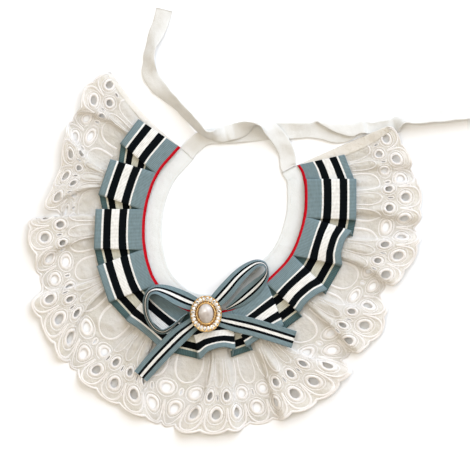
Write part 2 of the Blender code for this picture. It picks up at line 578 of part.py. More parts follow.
def build_strip(name, rows, thick, finish, width=None, across=2):
    """A flat strip that follows the rows and turns with their roll, resting on what is under it.

    Where it has a width, a row with another keeps its left-hand edge and opens on the right.
    """
    table = column(rows, "x", "y", "roll", "on")
    widths = np.array([row.get("width", width) for row in rows], float)
    over = np.array([row.get("over", 0.0) for row in rows])
    knots = along(table[:, :2])
    at = np.interp(np.arange(0, len(rows) - 0.75, 0.5), range(len(rows)), knots)
    x, y, roll, on = through(table, at, knots).T
    roll = np.radians(roll)
    wide, over = (through(values[:, None], at, knots)[:, 0] for values in (widths, over))
    along_x, along_y = np.gradient(x, at), np.gradient(y, at)
    length = np.hypot(along_x, along_y)
    points = []
    for n in range(len(at)):
        places = np.linspace(-wide[n] / 2, wide[n] / 2, across)
        inward, up = rolled_over(places, wide[n] / 2, max(over[n], 0))
        if width:
            inward += (width - wide[n]) / 2
        level = inward * math.cos(roll[n]) - up * math.sin(roll[n])
        height = inward * math.sin(roll[n]) + up * math.cos(roll[n])
        height += on[n] - height.min() + thick / 2 * abs(math.cos(roll[n]))
        side_x, side_y = -along_y[n] / length[n], along_x[n] / length[n]
        points += list(np.column_stack([x[n] + side_x * level, y[n] + side_y * level, height]))
    return cloth(name, points, grid_faces(len(at), across), thick, finish)


def turned(name, profile, half, height, finish, segments):
    """A round piece turned from its profile, pressed oval and set down at the brooch's place.

    The profile is (share of the half width, height) down its outer side.
    """
    mesh = bpy.data.meshes.new(name + "_profile")
    mesh.from_pydata([(share, 0, level) for share, level in profile], [],
                     [(n, n + 1) for n in range(len(profile) - 1)])
    guide = bpy.data.objects.new(name + "_guide", mesh)
    PIECES.objects.link(guide)
    turn = guide.modifiers.new("Turn", "SCREW")
    turn.steps = turn.render_steps = segments
    turn.use_normal_flip = True
    turn.use_merge_vertices = True
    turn.merge_threshold = 0.0001
    bpy.context.view_layer.update()
    graph = bpy.context.evaluated_depsgraph_get()
    made = bpy.data.meshes.new_from_object(guide.evaluated_get(graph))
    made.name = name
    bpy.data.objects.remove(guide)
    angle = math.radians(BROOCH_TURN)
    for vertex in made.vertices:
        x, y, z = vertex.co.x * half[0], vertex.co.y * half[1], vertex.co.z
        vertex.co = (
            (BROOCH_AT[0] + x * math.cos(angle) - y * math.sin(angle)) * MM,
            (BROOCH_AT[1] + x * math.sin(angle) + y * math.cos(angle)) * MM,
            (height + z) * MM,
        )
    return new_object(name, made, finish)


def build_brooch(gold, pearl):
    """The oval setting with its raised rims, and the pearl in its cup."""
    setting = ((0, 2.2), (0.58, 2.2), (0.61, 3.4), (0.67, 3.4), (0.71, 2.3), (0.9, 2.3),
               (0.97, 1.9), (1.0, 1.0), (0.96, 0.1), (0.9, 0), (0, 0))
    turned("brooch_setting", setting, BROOCH_HALF, BROOCH_BASE, gold, 32)
    dome = [(math.sin(a), PEARL_HIGH * math.cos(a)) for a in np.linspace(0, math.pi / 2, 6)]
    dome += [(0.96, -0.3), (0, -0.3)]
    turned("brooch_pearl", dome, PEARL_HALF, BROOCH_BASE + 2.2 + GAP + 0.3, pearl, 24)


for stale in list(bpy.data.objects):
    bpy.data.objects.remove(stale)
PIECES = bpy.data.collections.new("lace_pet_bandana")
bpy.context.scene.collection.children.link(PIECES)

COTTON = material("white_cotton", (0.86, 0.85, 0.81), 0.85)
EYELET = material("eyelet_lace", (0.84, 0.81, 0.75), 0.9)
SLATE = material("slate_ribbon", (0.27, 0.36, 0.38), 0.6)
STRIPE = material("bow_ribbon", (0.24, 0.33, 0.35), 0.6)
GOLD = material("gold_setting", (0.83, 0.62, 0.27), 0.25, 1.0)
PEARL = material("pearl", (0.9, 0.87, 0.82), 0.2)

build_neckband(COTTON)
build_frill(SLATE)
build_flounce(EYELET)
build_strip("tie_left", LEFT_TIE, TIE_THICK, COTTON, width=TIE_WIDTH, across=13)
build_strip("tie_right", RIGHT_TIE, TIE_THICK, COTTON, width=TIE_WIDTH)
build_strip("bow_loop_left", LEFT_LOOP, BOW_THICK, STRIPE)
build_strip("bow_loop_right", RIGHT_LOOP, BOW_THICK, STRIPE)
build_strip("bow_tail_left", LEFT_TAIL, BOW_THICK, STRIPE)
build_strip("bow_tail_right", RIGHT_TAIL, BOW_THICK, STRIPE)
build_brooch(GOLD, PEARL)
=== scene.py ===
"""Dresses the lace pet bandana: its lace, striped ribbon, cotton neckband, ties, bow and brooch.

Everything is placed from the same tables of folds and pleats as the solids, in the same frame.
Working sizes are in millimetres from the middle of the neck opening, and each mesh is moved to the
part's own middle and to metres when it is made.
"""

import logging
import math
from dataclasses import dataclass, field
from enum import Enum
from typing import Iterable, Optional, Sequence

import bpy
import numpy as np
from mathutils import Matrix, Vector, noise
from mathutils.geometry import delaunay_2d_cdt


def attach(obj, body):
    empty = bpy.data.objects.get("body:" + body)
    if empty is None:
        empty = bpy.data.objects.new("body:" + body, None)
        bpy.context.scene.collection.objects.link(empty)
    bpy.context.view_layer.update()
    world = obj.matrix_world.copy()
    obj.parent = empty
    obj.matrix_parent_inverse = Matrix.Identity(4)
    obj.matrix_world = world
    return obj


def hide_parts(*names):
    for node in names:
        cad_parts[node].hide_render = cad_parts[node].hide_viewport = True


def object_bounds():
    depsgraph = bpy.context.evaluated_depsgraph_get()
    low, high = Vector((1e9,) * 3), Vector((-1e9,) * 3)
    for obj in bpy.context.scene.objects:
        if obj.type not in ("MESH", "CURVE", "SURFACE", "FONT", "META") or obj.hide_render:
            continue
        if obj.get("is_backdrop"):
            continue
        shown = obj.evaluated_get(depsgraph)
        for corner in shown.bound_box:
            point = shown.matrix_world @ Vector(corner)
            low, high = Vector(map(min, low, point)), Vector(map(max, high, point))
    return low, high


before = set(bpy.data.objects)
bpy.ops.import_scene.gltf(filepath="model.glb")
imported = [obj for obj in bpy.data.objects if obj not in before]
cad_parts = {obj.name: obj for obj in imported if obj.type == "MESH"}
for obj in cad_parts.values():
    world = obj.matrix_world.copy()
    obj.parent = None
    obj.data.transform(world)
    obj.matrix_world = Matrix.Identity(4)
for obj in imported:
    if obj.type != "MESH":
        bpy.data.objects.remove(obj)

CAD_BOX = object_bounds()
LOG = logging.getLogger("bandana")

MM = 0.001
# The middle of the whole part as it lies, in working millimetres
MIDDLE = (24.3, 0.8)
BODY = "root"

Points = np.ndarray


# Curves

def through(rows: Sequence, at: Sequence, knots: Optional[np.ndarray] = None) -> Points:
    """Points of a smooth curve through the rows.

    Args:
        rows: the points or values that the curve passes through.
        at: row numbers, or places between the knots.
        knots: the place of each row, where the rows aren't evenly spaced.

    Returns:
        One row of values for each place.
    """
    rows, at = np.asarray(rows, float), np.atleast_1d(np.asarray(at, float))
    knots = np.arange(len(rows), dtype=float) if knots is None else knots
    first = np.clip(np.searchsorted(knots, at, side="right") - 1, 0, len(rows) - 2)
    span = np.diff(knots)[:, None]
    rise = np.diff(rows, axis=0)
    inner = (rise[:-1] + rise[1:]) / (span[:-1] + span[1:])
    slope = np.concatenate([rise[:1] / span[:1], inner, rise[-1:] / span[-1:]])
    step = span[first]
    share = (at - knots[first])[:, None] / step
    start, end = rows[first], rows[first + 1]
    out = slope[first] * step * share * (1 - share) ** 2
    back = slope[first + 1] * step * share**2 * (1 - share)
    return start + (end - start) * share**2 * (3 - 2 * share) + out - back


def along(points: Points) -> np.ndarray:
    """The distance of each point along the line through them."""
    steps = np.linalg.norm(np.diff(points, axis=0), axis=1)
    return np.concatenate([[0.0], np.cumsum(steps)])


def towards(degrees: float) -> np.ndarray:
    """The unit vector in plan in a direction."""
    return np.array([math.cos(math.radians(degrees)), math.sin(math.radians(degrees))])


def unit(vectors: np.ndarray) -> np.ndarray:
    """Vectors at length one."""
    length = np.linalg.norm(vectors, axis=-1, keepdims=True)
    return vectors / np.maximum(length, 1e-9)


def bell(value: np.ndarray) -> np.ndarray:
    """A smooth bump of height one at nought, near nothing by two."""
    return np.exp(-value * value)


def soft_noise(points: Points, size: float, seed: float) -> np.ndarray:
    """Smooth noise from about -1 to 1 at each point, with lumps of the given size."""
    places = points / size + (seed, -seed, 0.0)
    return np.array([noise.noise(Vector(place)) for place in places])


# Rows of the tables, each in the order of its fields

@dataclass(frozen=True)
class Pleat:
    """A pleat of the frill: where it starts on the seam, its two edges and the valley after it."""

    seam_x: float
    seam_y: float
    lead: float
    lead_reach: float
    trail: float
    trail_reach: float
    lift: float
    crown: float
    hollow: float
    floor_in: float
    floor_out: float
    lead_tuck: float
    trail_tuck: float


@dataclass(frozen=True)
class FrillEnd:
    """The ribbon's right-hand end, which comes out from under the last pleat."""

    seam_x: float
    seam_y: float
    end_x: float
    end_y: float
    lead: float


@dataclass(frozen=True)
class LaceFold:
    """A fold of the lace: its shoulders and middle at the edge, its feet and the valley after it."""

    lead: float
    lead_far: float
    middle_far: float
    trail: float
    trail_far: float
    rise: float
    dip: float
    lead_foot: float
    trail_foot: float
    valley: float
    lead_in: float
    trail_in: float


@dataclass(frozen=True)
class StripRow:
    """A place along a strip, how far it has turned there, and the height of what it lies on."""

    x: float
    y: float
    roll: float
    on: float
    width: float = 10.4
    over: float = 0.0


@dataclass(frozen=True)
class Crease:
    """A soft ridge, or a trough where height is negative, from one place in plan to another."""

    x: float
    y: float
    to_x: float
    to_y: float
    height: float
    width: float


# Sizes shared with the solids, in millimetres
BAND_SHOWS = 11.4
BAND_UNDER_FRILL = 2.5
FRILL_FLOOR_SEAM = 2.75
FRILL_FLOOR_EDGE = 2.45
FOLD_RADIUS = 0.7
SEAM_TUCK = 2.6
PUFF = 0.3
SEAM_TOP = FRILL_FLOOR_SEAM + 4 * FOLD_RADIUS
RIBBON_WIDTH = 37.2
LACE_WIDTH = 85.0
LACE_FRILL_LINE = 38.0
LACE_LOW = 0.55
LACE_UNDER_PLEAT = 4.0
LACE_UNDER_END = 1.0
LACE_CORNER_HEIGHT = 6.8
REPEAT = 16.0
SCALLOP_DEEP = 2.6
TIE_WIDTH = 10.4
TIE_THICK = 1.8
TIE_FOLD_RADIUS = 1.4
BOW_THICK = 1.0
BROOCH_AT = (-11.2, -65.2)
BROOCH_BASE = 12.35
BROOCH_HALF = (11.2, 12.8)
PEARL_HALF = (5.4, 7.0)
PEARL_HIGH = 3.9
BROOCH_TURN = 2.0

# How much nearer the pleat's edge a fold's foot leaves the frill than its shoulder
FOOT_OUTSIDE = 3.6
# How far out from the seam the lace's folds leave the frill, and the last fold's two directions
LEAVES_FRILL = 37.0
LAST_FOLD = (360.0, 378.8)
# How far the lace's cut ends stand out past the frill's, left and right
LACE_PAST_FRILL = (5.5, 3.4)
# The width that the repeats are measured at, how far the cloth settles, and half its thickness
MEASURED_AT = 74.5
LACE_SETTLES = 0.3
LACE_HALF = 0.2
# The height under which the frill lies low in a tuck and gets painted shade, and the height that this
# shade fades over
TUCK_SHADE_ENDS = 4.7
TUCK_SHADE_FADES = 1.5
# What the meshes carry for their finishes: a random painted glint on each face of the stones, and the
# painted shade low in the frill's tucks
PAINTED_FACET_GLINT = "painted_facet_glint"
PAINTED_TUCK_SHADE = "painted_tuck_shade"

PLEATS = tuple(Pleat(*row) for row in (
    (-29.3, 52.7, 146.0, 36.0, 138.8, 35.0, 4.0, 0.4, 0.0, 35.0, 29.5, 0.0, -3.0),
    (-45.2, 33.4, 163.2, 35.6, 160.2, 35.9, 4.4, 0.5, 0.0, 35.9, 31.2, 1.8, -3.0),
    (-53.5, 8.2, 180.0, 36.0, 178.3, 37.0, 4.4, 0.5, 0.0, 37.0, 36.0, 1.8, -3.0),
    (-53.7, -19.3, 200.3, 37.0, 199.2, 37.4, 4.4, 0.6, 0.0, 37.4, 34.5, 1.6, -3.0),
    (-45.1, -43.7, 230.2, 34.5, 235.7, 35.0, 5.0, 0.8, 1.0, 35.5, 37.0, -3.0, -3.0),
    (-23.4, -61.4, 283.0, 36.5, 274.4, 29.0, 5.8, 1.8, 3.6, 34.0, 33.0, -4.0, 1.6),
    (6.4, -61.1, 293.4, 29.5, 291.5, 34.0, 5.2, 0.8, 0.6, 37.0, 36.5, 1.4, 1.6),
    (30.5, -41.9, 318.4, 33.0, 315.0, 36.2, 5.2, 1.2, 2.0, 37.3, 37.8, -3.0, 1.8),
    (48.3, -22.7, 348.8, 37.4, 342.6, 35.6, 5.0, 1.2, 2.6, 37.4, 37.6, -3.0, 1.8),
    (57.5, 3.6, 357.6, 37.5, 360.0, 37.2, 4.4, 0.6, 0.0, 36.2, 34.4, -2.0, 1.8),
))
# The ribbon's right-hand end comes out from under the last pleat
FRILL_END = FrillEnd(seam_x=57.9, seam_y=29.6, end_x=53.2, end_y=40.2, lead=372.8)

LACE_FOLDS = tuple(LaceFold(*row) for row in (
    (128.6, 134.0, 135.6, 141.0, 129.5, 6.0, 0.75, 2.0, 2.6, 128.5, 0.5, 8.0),
    (150.0, 127.8, 121.0, 174.6, 125.3, 8.0, 0.55, 2.6, 2.4, 115.0, 8.0, 4.4),
    (179.6, 135.6, 137.0, 191.0, 134.5, 5.5, 0.8, 1.2, 3.4, 135.5, 4.6, 8.0),
    (203.4, 146.0, 147.0, 219.0, 149.0, 5.2, 0.5, 3.4, 3.0, 148.0, 8.0, 8.0),
    (229.0, 149.5, 149.5, 247.0, 149.0, 5.4, 0.4, 3.6, 4.0, 149.5, 8.0, 8.0),
    (260.5, 150.5, 149.5, 273.5, 148.0, 6.6, 0.7, 4.0, 3.0, 145.5, 8.0, 6.0),
    (288.0, 145.0, 144.2, 310.2, 139.4, 8.0, 0.6, 2.2, 1.2, 130.5, 6.0, 8.0),
    (316.5, 133.2, 136.6, 331.5, 132.5, 6.4, 0.7, 1.8, 3.0, 124.5, 8.0, 6.0),
    (340.2, 129.6, 136.5, 354.6, 140.5, 7.4, 0.75, 1.4, 2.4, 137.5, 5.0, 5.0),
    (361.6, 140.5, 141.5, 371.6, 142.0, 5.8, 0.75, 2.6, 1.8, 139.5, 5.0, 8.0),
    (377.4, 140.5, 139.5, 388.6, 138.0, 5.4, 0.8, 2.0, 1.4, 136.5, 8.0, 4.5),
))

# The ties, from the neckband's ends. A row's width grows where the tape is rolled over.
LEFT_TIE = tuple(StripRow(*row) for row in (
    (-24.7, 49.3, 0, 0), (-23.3, 51.0, 0, 0), (-19.6, 54.7, 0, 0), (-14.6, 58.6, 0, 0),
    (-9.4, 60.8, 0, 0), (-3.0, 61.2, 0, 0), (5.0, 61.4, 0, 0), (17.0, 62.5, 0, 0), (30.0, 63.9, 0, 0),
    (38.0, 64.6, 0, 0), (46.0, 64.6, 4, 0), (55.0, 64.9, 14, 0), (64.0, 64.8, 4, 0, 10.4, 0.4),
    (71.0, 64.7, 0, 0, 16.0, 5.2), (78.0, 64.4, 0, 0, 21.4, 8.8), (85.0, 64.0, 0, 0, 23.6, 11.0),
    (92.0, 63.8, 0, 0, 22.4, 12.4), (98.0, 64.4, 0, 0, 15.4, 10.8), (104.0, 65.6, 0, 0, 7.8, 12.2),
    (112.0, 66.0, 0, 0, 8.6, 13.0), (121.5, 67.8, 0, 0, 10.4, 14.8), (129.0, 69.4, -64, 0, 10.4, 14.8),
    (138.0, 70.2, -56, 0, 10.4, 14.8), (152.0, 72.4, -46, 0, 10.4, 14.8),
    (176.0, 75.5, -38, 0, 10.4, 14.8), (186.0, 76.7, -36, 0, 10.4, 14.8),
))
RIGHT_TIE = tuple(StripRow(*row) for row in (
    (47.6, 38.7, 0, 0), (46.9, 40.2, 0, 0), (46.4, 46.8, 0, 0), (43.6, 54.0, 0, 1.5),
    (39.0, 60.8, 8, 2.2), (34.0, 66.0, 26, 2.1), (28.8, 69.0, 58, 2.1), (23.6, 69.2, 96, 2.1),
    (18.0, 67.2, 136, 2.1), (12.0, 64.9, 166, 2.1), (5.0, 63.4, 186, 2.1), (-1.5, 61.6, 158, 2.1),
    (-6.6, 60.9, 122, 2.1), (-12.0, 62.4, 110, 2.1), (-18.3, 68.3, 117, 1.8), (-25.1, 75.9, 120, 0),
    (-32.2, 83.3, 126, 0), (-39.7, 90.2, 139, 0), (-46.5, 97.5, 164, 0), (-51.1, 105.3, 168, 0),
    (-51.8, 113.8, 136, 0), (-50.6, 123.6, 134, 0), (-46.6, 133.6, 156, 0), (-43.2, 142.0, 172, 0),
    (-40.8, 150.8, 180, 0),
))

# The bow's ribbon, from under the brooch and back, narrower where it is gathered
LEFT_LOOP = tuple(StripRow(*row) for row in (
    (-17.6, -58.4, 4, 9.4, 8.5), (-23.8, -56.2, 10, 9.4, 11.0), (-31.2, -52.9, 24, 9.2, 12.0),
    (-39.0, -49.4, 42, 9.0, 12.0), (-46.2, -47.7, 60, 8.2, 12.0), (-51.2, -49.6, 70, 8.0, 12.0),
    (-53.6, -54.4, 72, 7.8, 12.0), (-53.8, -61.0, 72, 8.1, 12.0), (-51.8, -68.6, 72, 8.6, 12.0),
    (-47.2, -75.2, 72, 8.8, 12.0), (-41.4, -77.4, 74, 8.6, 12.0), (-35.8, -74.4, 78, 8.2, 11.0),
    (-31.2, -70.2, 82, 7.6, 8.6), (-27.4, -66.6, 84, 7.4, 6.0), (-24.0, -64.4, 80, 7.6, 4.0),
))
RIGHT_LOOP = tuple(StripRow(*row) for row in (
    (-7.4, -58.8, -6, 9.4, 8.0), (-2.6, -54.4, -14, 9.4, 10.4), (4.0, -47.2, -28, 9.0, 12.0),
    (11.2, -39.0, -40, 7.0, 12.0), (18.4, -32.8, -52, 5.0, 12.0), (24.6, -29.3, -66, 4.4, 12.0),
    (29.4, -29.6, -76, 5.0, 12.0), (31.6, -33.2, -80, 6.6, 12.0), (30.2, -38.6, -62, 6.5, 12.0),
    (25.3, -44.7, -41, 6.6, 12.0), (18.8, -50.7, -34, 6.6, 12.0), (12.5, -55.8, -37, 6.6, 10.0),
    (7.2, -59.2, -50, 6.6, 7.0), (3.0, -61.4, -64, 6.6, 4.4),
))
LEFT_TAIL = tuple(StripRow(*row) for row in (
    (-15.8, -68.6, 0, 8.2, 8.0), (-21.2, -73.0, 0, 8.2, 9.6), (-29.8, -79.8, -4, 8.0, 12.0),
    (-39.0, -88.8, -4, 7.9, 12.0), (-49.0, -99.4, -8, 6.5, 12.0), (-57.5, -109.2, -22, 4.4, 12.0),
))
RIGHT_TAIL = tuple(StripRow(*row) for row in (
    (-6.0, -67.4, 0, 8.4, 8.0), (0.6, -69.4, 0, 8.9, 9.6), (9.4, -71.4, 2, 9.0, 12.0),
    (22.4, -74.5, 3, 9.3, 12.0), (37.0, -78.8, 0, 9.2, 12.0), (51.0, -83.2, -4, 8.4, 12.0),
))

# Creases pressed into the lace
LACE_CREASES = tuple(Crease(*row) for row in (
    (-22.7, -98.0, -25.6, -130.0, -1.7, 3.0), (-4.3, -96.0, -2.8, -116.0, -1.3, 2.0),
    (22.7, -92.0, 40.5, -121.0, -2.4, 4.0), (40.0, -116.0, 36.2, -141.0, -1.8, 3.4),
    (22.7, -86.0, 43.0, -110.0, 1.7, 2.8), (51.0, -74.0, 79.0, -89.0, -2.2, 3.6),
    (75.0, -85.0, 86.5, -109.0, -2.1, 3.4), (87.0, -104.0, 76.0, -119.0, -1.5, 3.0),
    (60.0, -56.5, 83.0, -59.5, 1.4, 2.6), (79.0, -56.5, 88.5, -76.0, 1.4, 2.6),
    (86.5, -71.0, 91.5, -93.0, 1.5, 2.5), (91.0, -88.0, 89.2, -104.0, 1.2, 2.4),
    (86.0, -33.5, 103.0, -44.5, -2.0, 3.2), (99.5, -39.5, 108.5, -58.5, -1.9, 3.0),
    (91.6, -28.4, 102.0, -40.0, -1.6, 2.6), (94.0, -5.0, 114.0, -6.0, -1.3, 2.4),
    (94.0, 6.4, 118.0, 4.0, -1.4, 2.5), (102.5, 9.4, 121.0, 7.8, 0.9, 1.4),
    (102.5, 43.0, 114.5, 40.2, 1.0, 1.7), (92.0, 52.0, 107.5, 45.0, -0.7, 2.9),
    (-79.0, -74.0, -85.5, -92.5, -1.4, 2.2), (-95.0, -63.5, -79.5, -75.5, 1.3, 4.0),
    (-113.5, -43.5, -92.0, -35.0, 1.3, 3.2), (-73.5, -72.5, -48.5, -88.5, -1.5, 3.8),
    (-86.0, 25.0, -110.0, 7.4, 1.6, 2.4), (-86.5, 17.5, -106.5, 6.5, -1.8, 3.4),
    (-113.0, -15.6, -93.5, -15.0, 0.8, 1.7), (-112.0, -4.0, -99.5, -2.0, 0.8, 1.6),
    (-84.0, 66.0, -72.0, 88.0, -1.2, 2.6), (-62.0, -86.0, -71.0, -108.0, -1.2, 2.4),
    (5.0, -97.0, 9.0, -118.0, 1.0, 2.2),
))


# Forms that the pieces are laid on

class Seam:
    """The line where the frill's inner edge is stitched to the neckband."""

    def __init__(self) -> None:
        """Runs a smooth line through the pleats' corners."""
        corners = [(row.seam_x, row.seam_y) for row in PLEATS]
        corners += [(FRILL_END.seam_x, FRILL_END.seam_y), (FRILL_END.end_x, FRILL_END.end_y)]
        row = np.linspace(0, len(corners) - 1, 45 * (len(corners) - 1) + 1)
        self.line = through(corners, row)
        self.length = along(self.line)
        self.corner = np.interp(range(len(corners)), row, self.length)

    def point(self, length: float, out: float = 0.0) -> np.ndarray:
        """The point at a distance along the seam.

        Args:
            length: the distance along it.
            out: how far outwards the point is moved.

        Returns:
            The point in plan.
        """
        x, y = (np.interp(length, self.length, self.line[:, k]) for k in (0, 1))
        slope = [
            np.interp(length + 0.5, self.length, self.line[:, k])
            - np.interp(length - 0.5, self.length, self.line[:, k])
            for k in (0, 1)
        ]
        slope = unit(np.array(slope))
        return np.array([x + slope[1] * out, y - slope[0] * out])


SEAM = Seam()


def edge_of(corner: int, degrees: float, reach: float) -> np.ndarray:
    """The free end of a pleat's edge that starts at a corner of the seam."""
    return SEAM.point(SEAM.corner[corner]) + reach * towards(degrees)


def fold_section(tuck: float, height: float, slope: float) -> Points:
    """The points of a pleat's edge, from the valley up to the pleat's top.

    Args:
        tuck: how far the edge lies over its valley.
        height: the pleat's height over the valley.
        slope: the width that the edge slopes down over, or nought for a tucked edge.

    Returns:
        The distance in from the edge and the height over the valley of each point.
    """
    r = FOLD_RADIUS
    folded = np.array([
        (tuck, 0), (tuck + r, r), (tuck, 2 * r), (0, height - 2 * r), (-r, height - r), (0, height),
    ])
    sloped = np.array([(-1.0, 0), (-0.72, 0.1), (-0.5, 0.32), (-0.28, 0.7), (-0.1, 0.93), (0.12, 1.0)])
    return folded if slope == 0 else sloped * (slope, height)


class FrillForm:
    """The ribbon's pleated length as columns of points from the seam to the free edge."""

    def __init__(self) -> None:
        """Works the columns out from the table of pleats."""
        self.columns: list[tuple[float, ...]] = []
        for k, pleat in enumerate(PLEATS):
            self.add_pleat(k, pleat)
        table = np.array(self.columns)
        self.inner = np.array([[*SEAM.point(row[0]), row[1]] for row in table])
        self.outer = table[:, 2:5]
        self.puff = table[:, 5]
        self.knots = along((self.inner + 2 * self.outer) / 3)

    def add(self, seam_length: float, seam_height: float, free: Points, free_height: float,
            puff: float = 0.0) -> None:
        """Adds one column.

        Args:
            seam_length: where it starts along the seam.
            seam_height: its height there.
            free: its free end in plan.
            free_height: the height of that end.
            puff: how far its middle stands up.
        """
        self.columns.append((seam_length, seam_height, *free, free_height, puff))

    def add_pleat(self, k: int, pleat: Pleat) -> None:
        """Adds the columns of one pleat and of the valley that follows it.

        Args:
            k: the pleat's number.
            pleat: its row of the table.
        """
        last = k == len(PLEATS) - 1
        start, end = SEAM.corner[k], SEAM.corner[k + 1]
        lead_end = edge_of(k, pleat.lead, pleat.lead_reach)
        trail_end = edge_of(k + 1, pleat.trail, pleat.trail_reach)
        forward = unit(trail_end - lead_end)
        top = FRILL_FLOOR_EDGE + pleat.lift
        floor_start = edge_of(k + 1, pleat.trail, pleat.floor_in)
        if last:
            floor_end = SEAM.point(SEAM.length[-1]) + pleat.floor_out * towards(FRILL_END.lead)
        else:
            floor_end = edge_of(k + 1, PLEATS[k + 1].lead, pleat.floor_out)
        onward = unit(floor_end - floor_start)
        if k == 0:
            self.add(start, SEAM_TOP, lead_end, top)
        back = np.array([-forward[1], forward[0]]) * pleat.hollow
        for share in (0.28, 0.72):
            free = lead_end + (trail_end - lead_end) * share + back
            self.add(start + (end - start) * share, SEAM_TOP, free, top + pleat.crown, pleat.crown * PUFF)
        at_seam = fold_section(SEAM_TUCK, SEAM_TOP - FRILL_FLOOR_SEAM, 0)
        tuck = pleat.trail_tuck
        at_edge = fold_section(max(tuck, 0), pleat.lift, max(-tuck, 0))
        for n, ((inside, height), (free_in, free_height)) in enumerate(zip(at_seam[::-1], at_edge[::-1])):
            ends = trail_end - forward * free_in if n < 3 else floor_start - onward * free_in
            self.add(end - inside, FRILL_FLOOR_SEAM + height, ends, FRILL_FLOOR_EDGE + free_height)
        if last:
            for share in (0.5, 1.0):
                free = floor_start + (floor_end - floor_start) * share
                self.add(end + (SEAM.length[-1] - end) * share, FRILL_FLOOR_SEAM, free, FRILL_FLOOR_EDGE)
            return
        self.add(end, FRILL_FLOOR_SEAM, (floor_start + floor_end) / 2, FRILL_FLOOR_EDGE)
        following = PLEATS[k + 1]
        tuck = following.lead_tuck
        at_edge = fold_section(max(tuck, 0), following.lift, max(-tuck, 0))
        next_lead = edge_of(k + 1, following.lead, following.lead_reach)
        next_trail = edge_of(k + 2, following.trail, following.trail_reach)
        next_forward = unit(next_trail - next_lead)
        for n, ((inside, height), (free_in, free_height)) in enumerate(zip(at_seam, at_edge)):
            ends = floor_end + onward * free_in if n < 3 else next_lead + next_forward * free_in
            self.add(end + inside, FRILL_FLOOR_SEAM + height, ends, FRILL_FLOOR_EDGE + free_height)


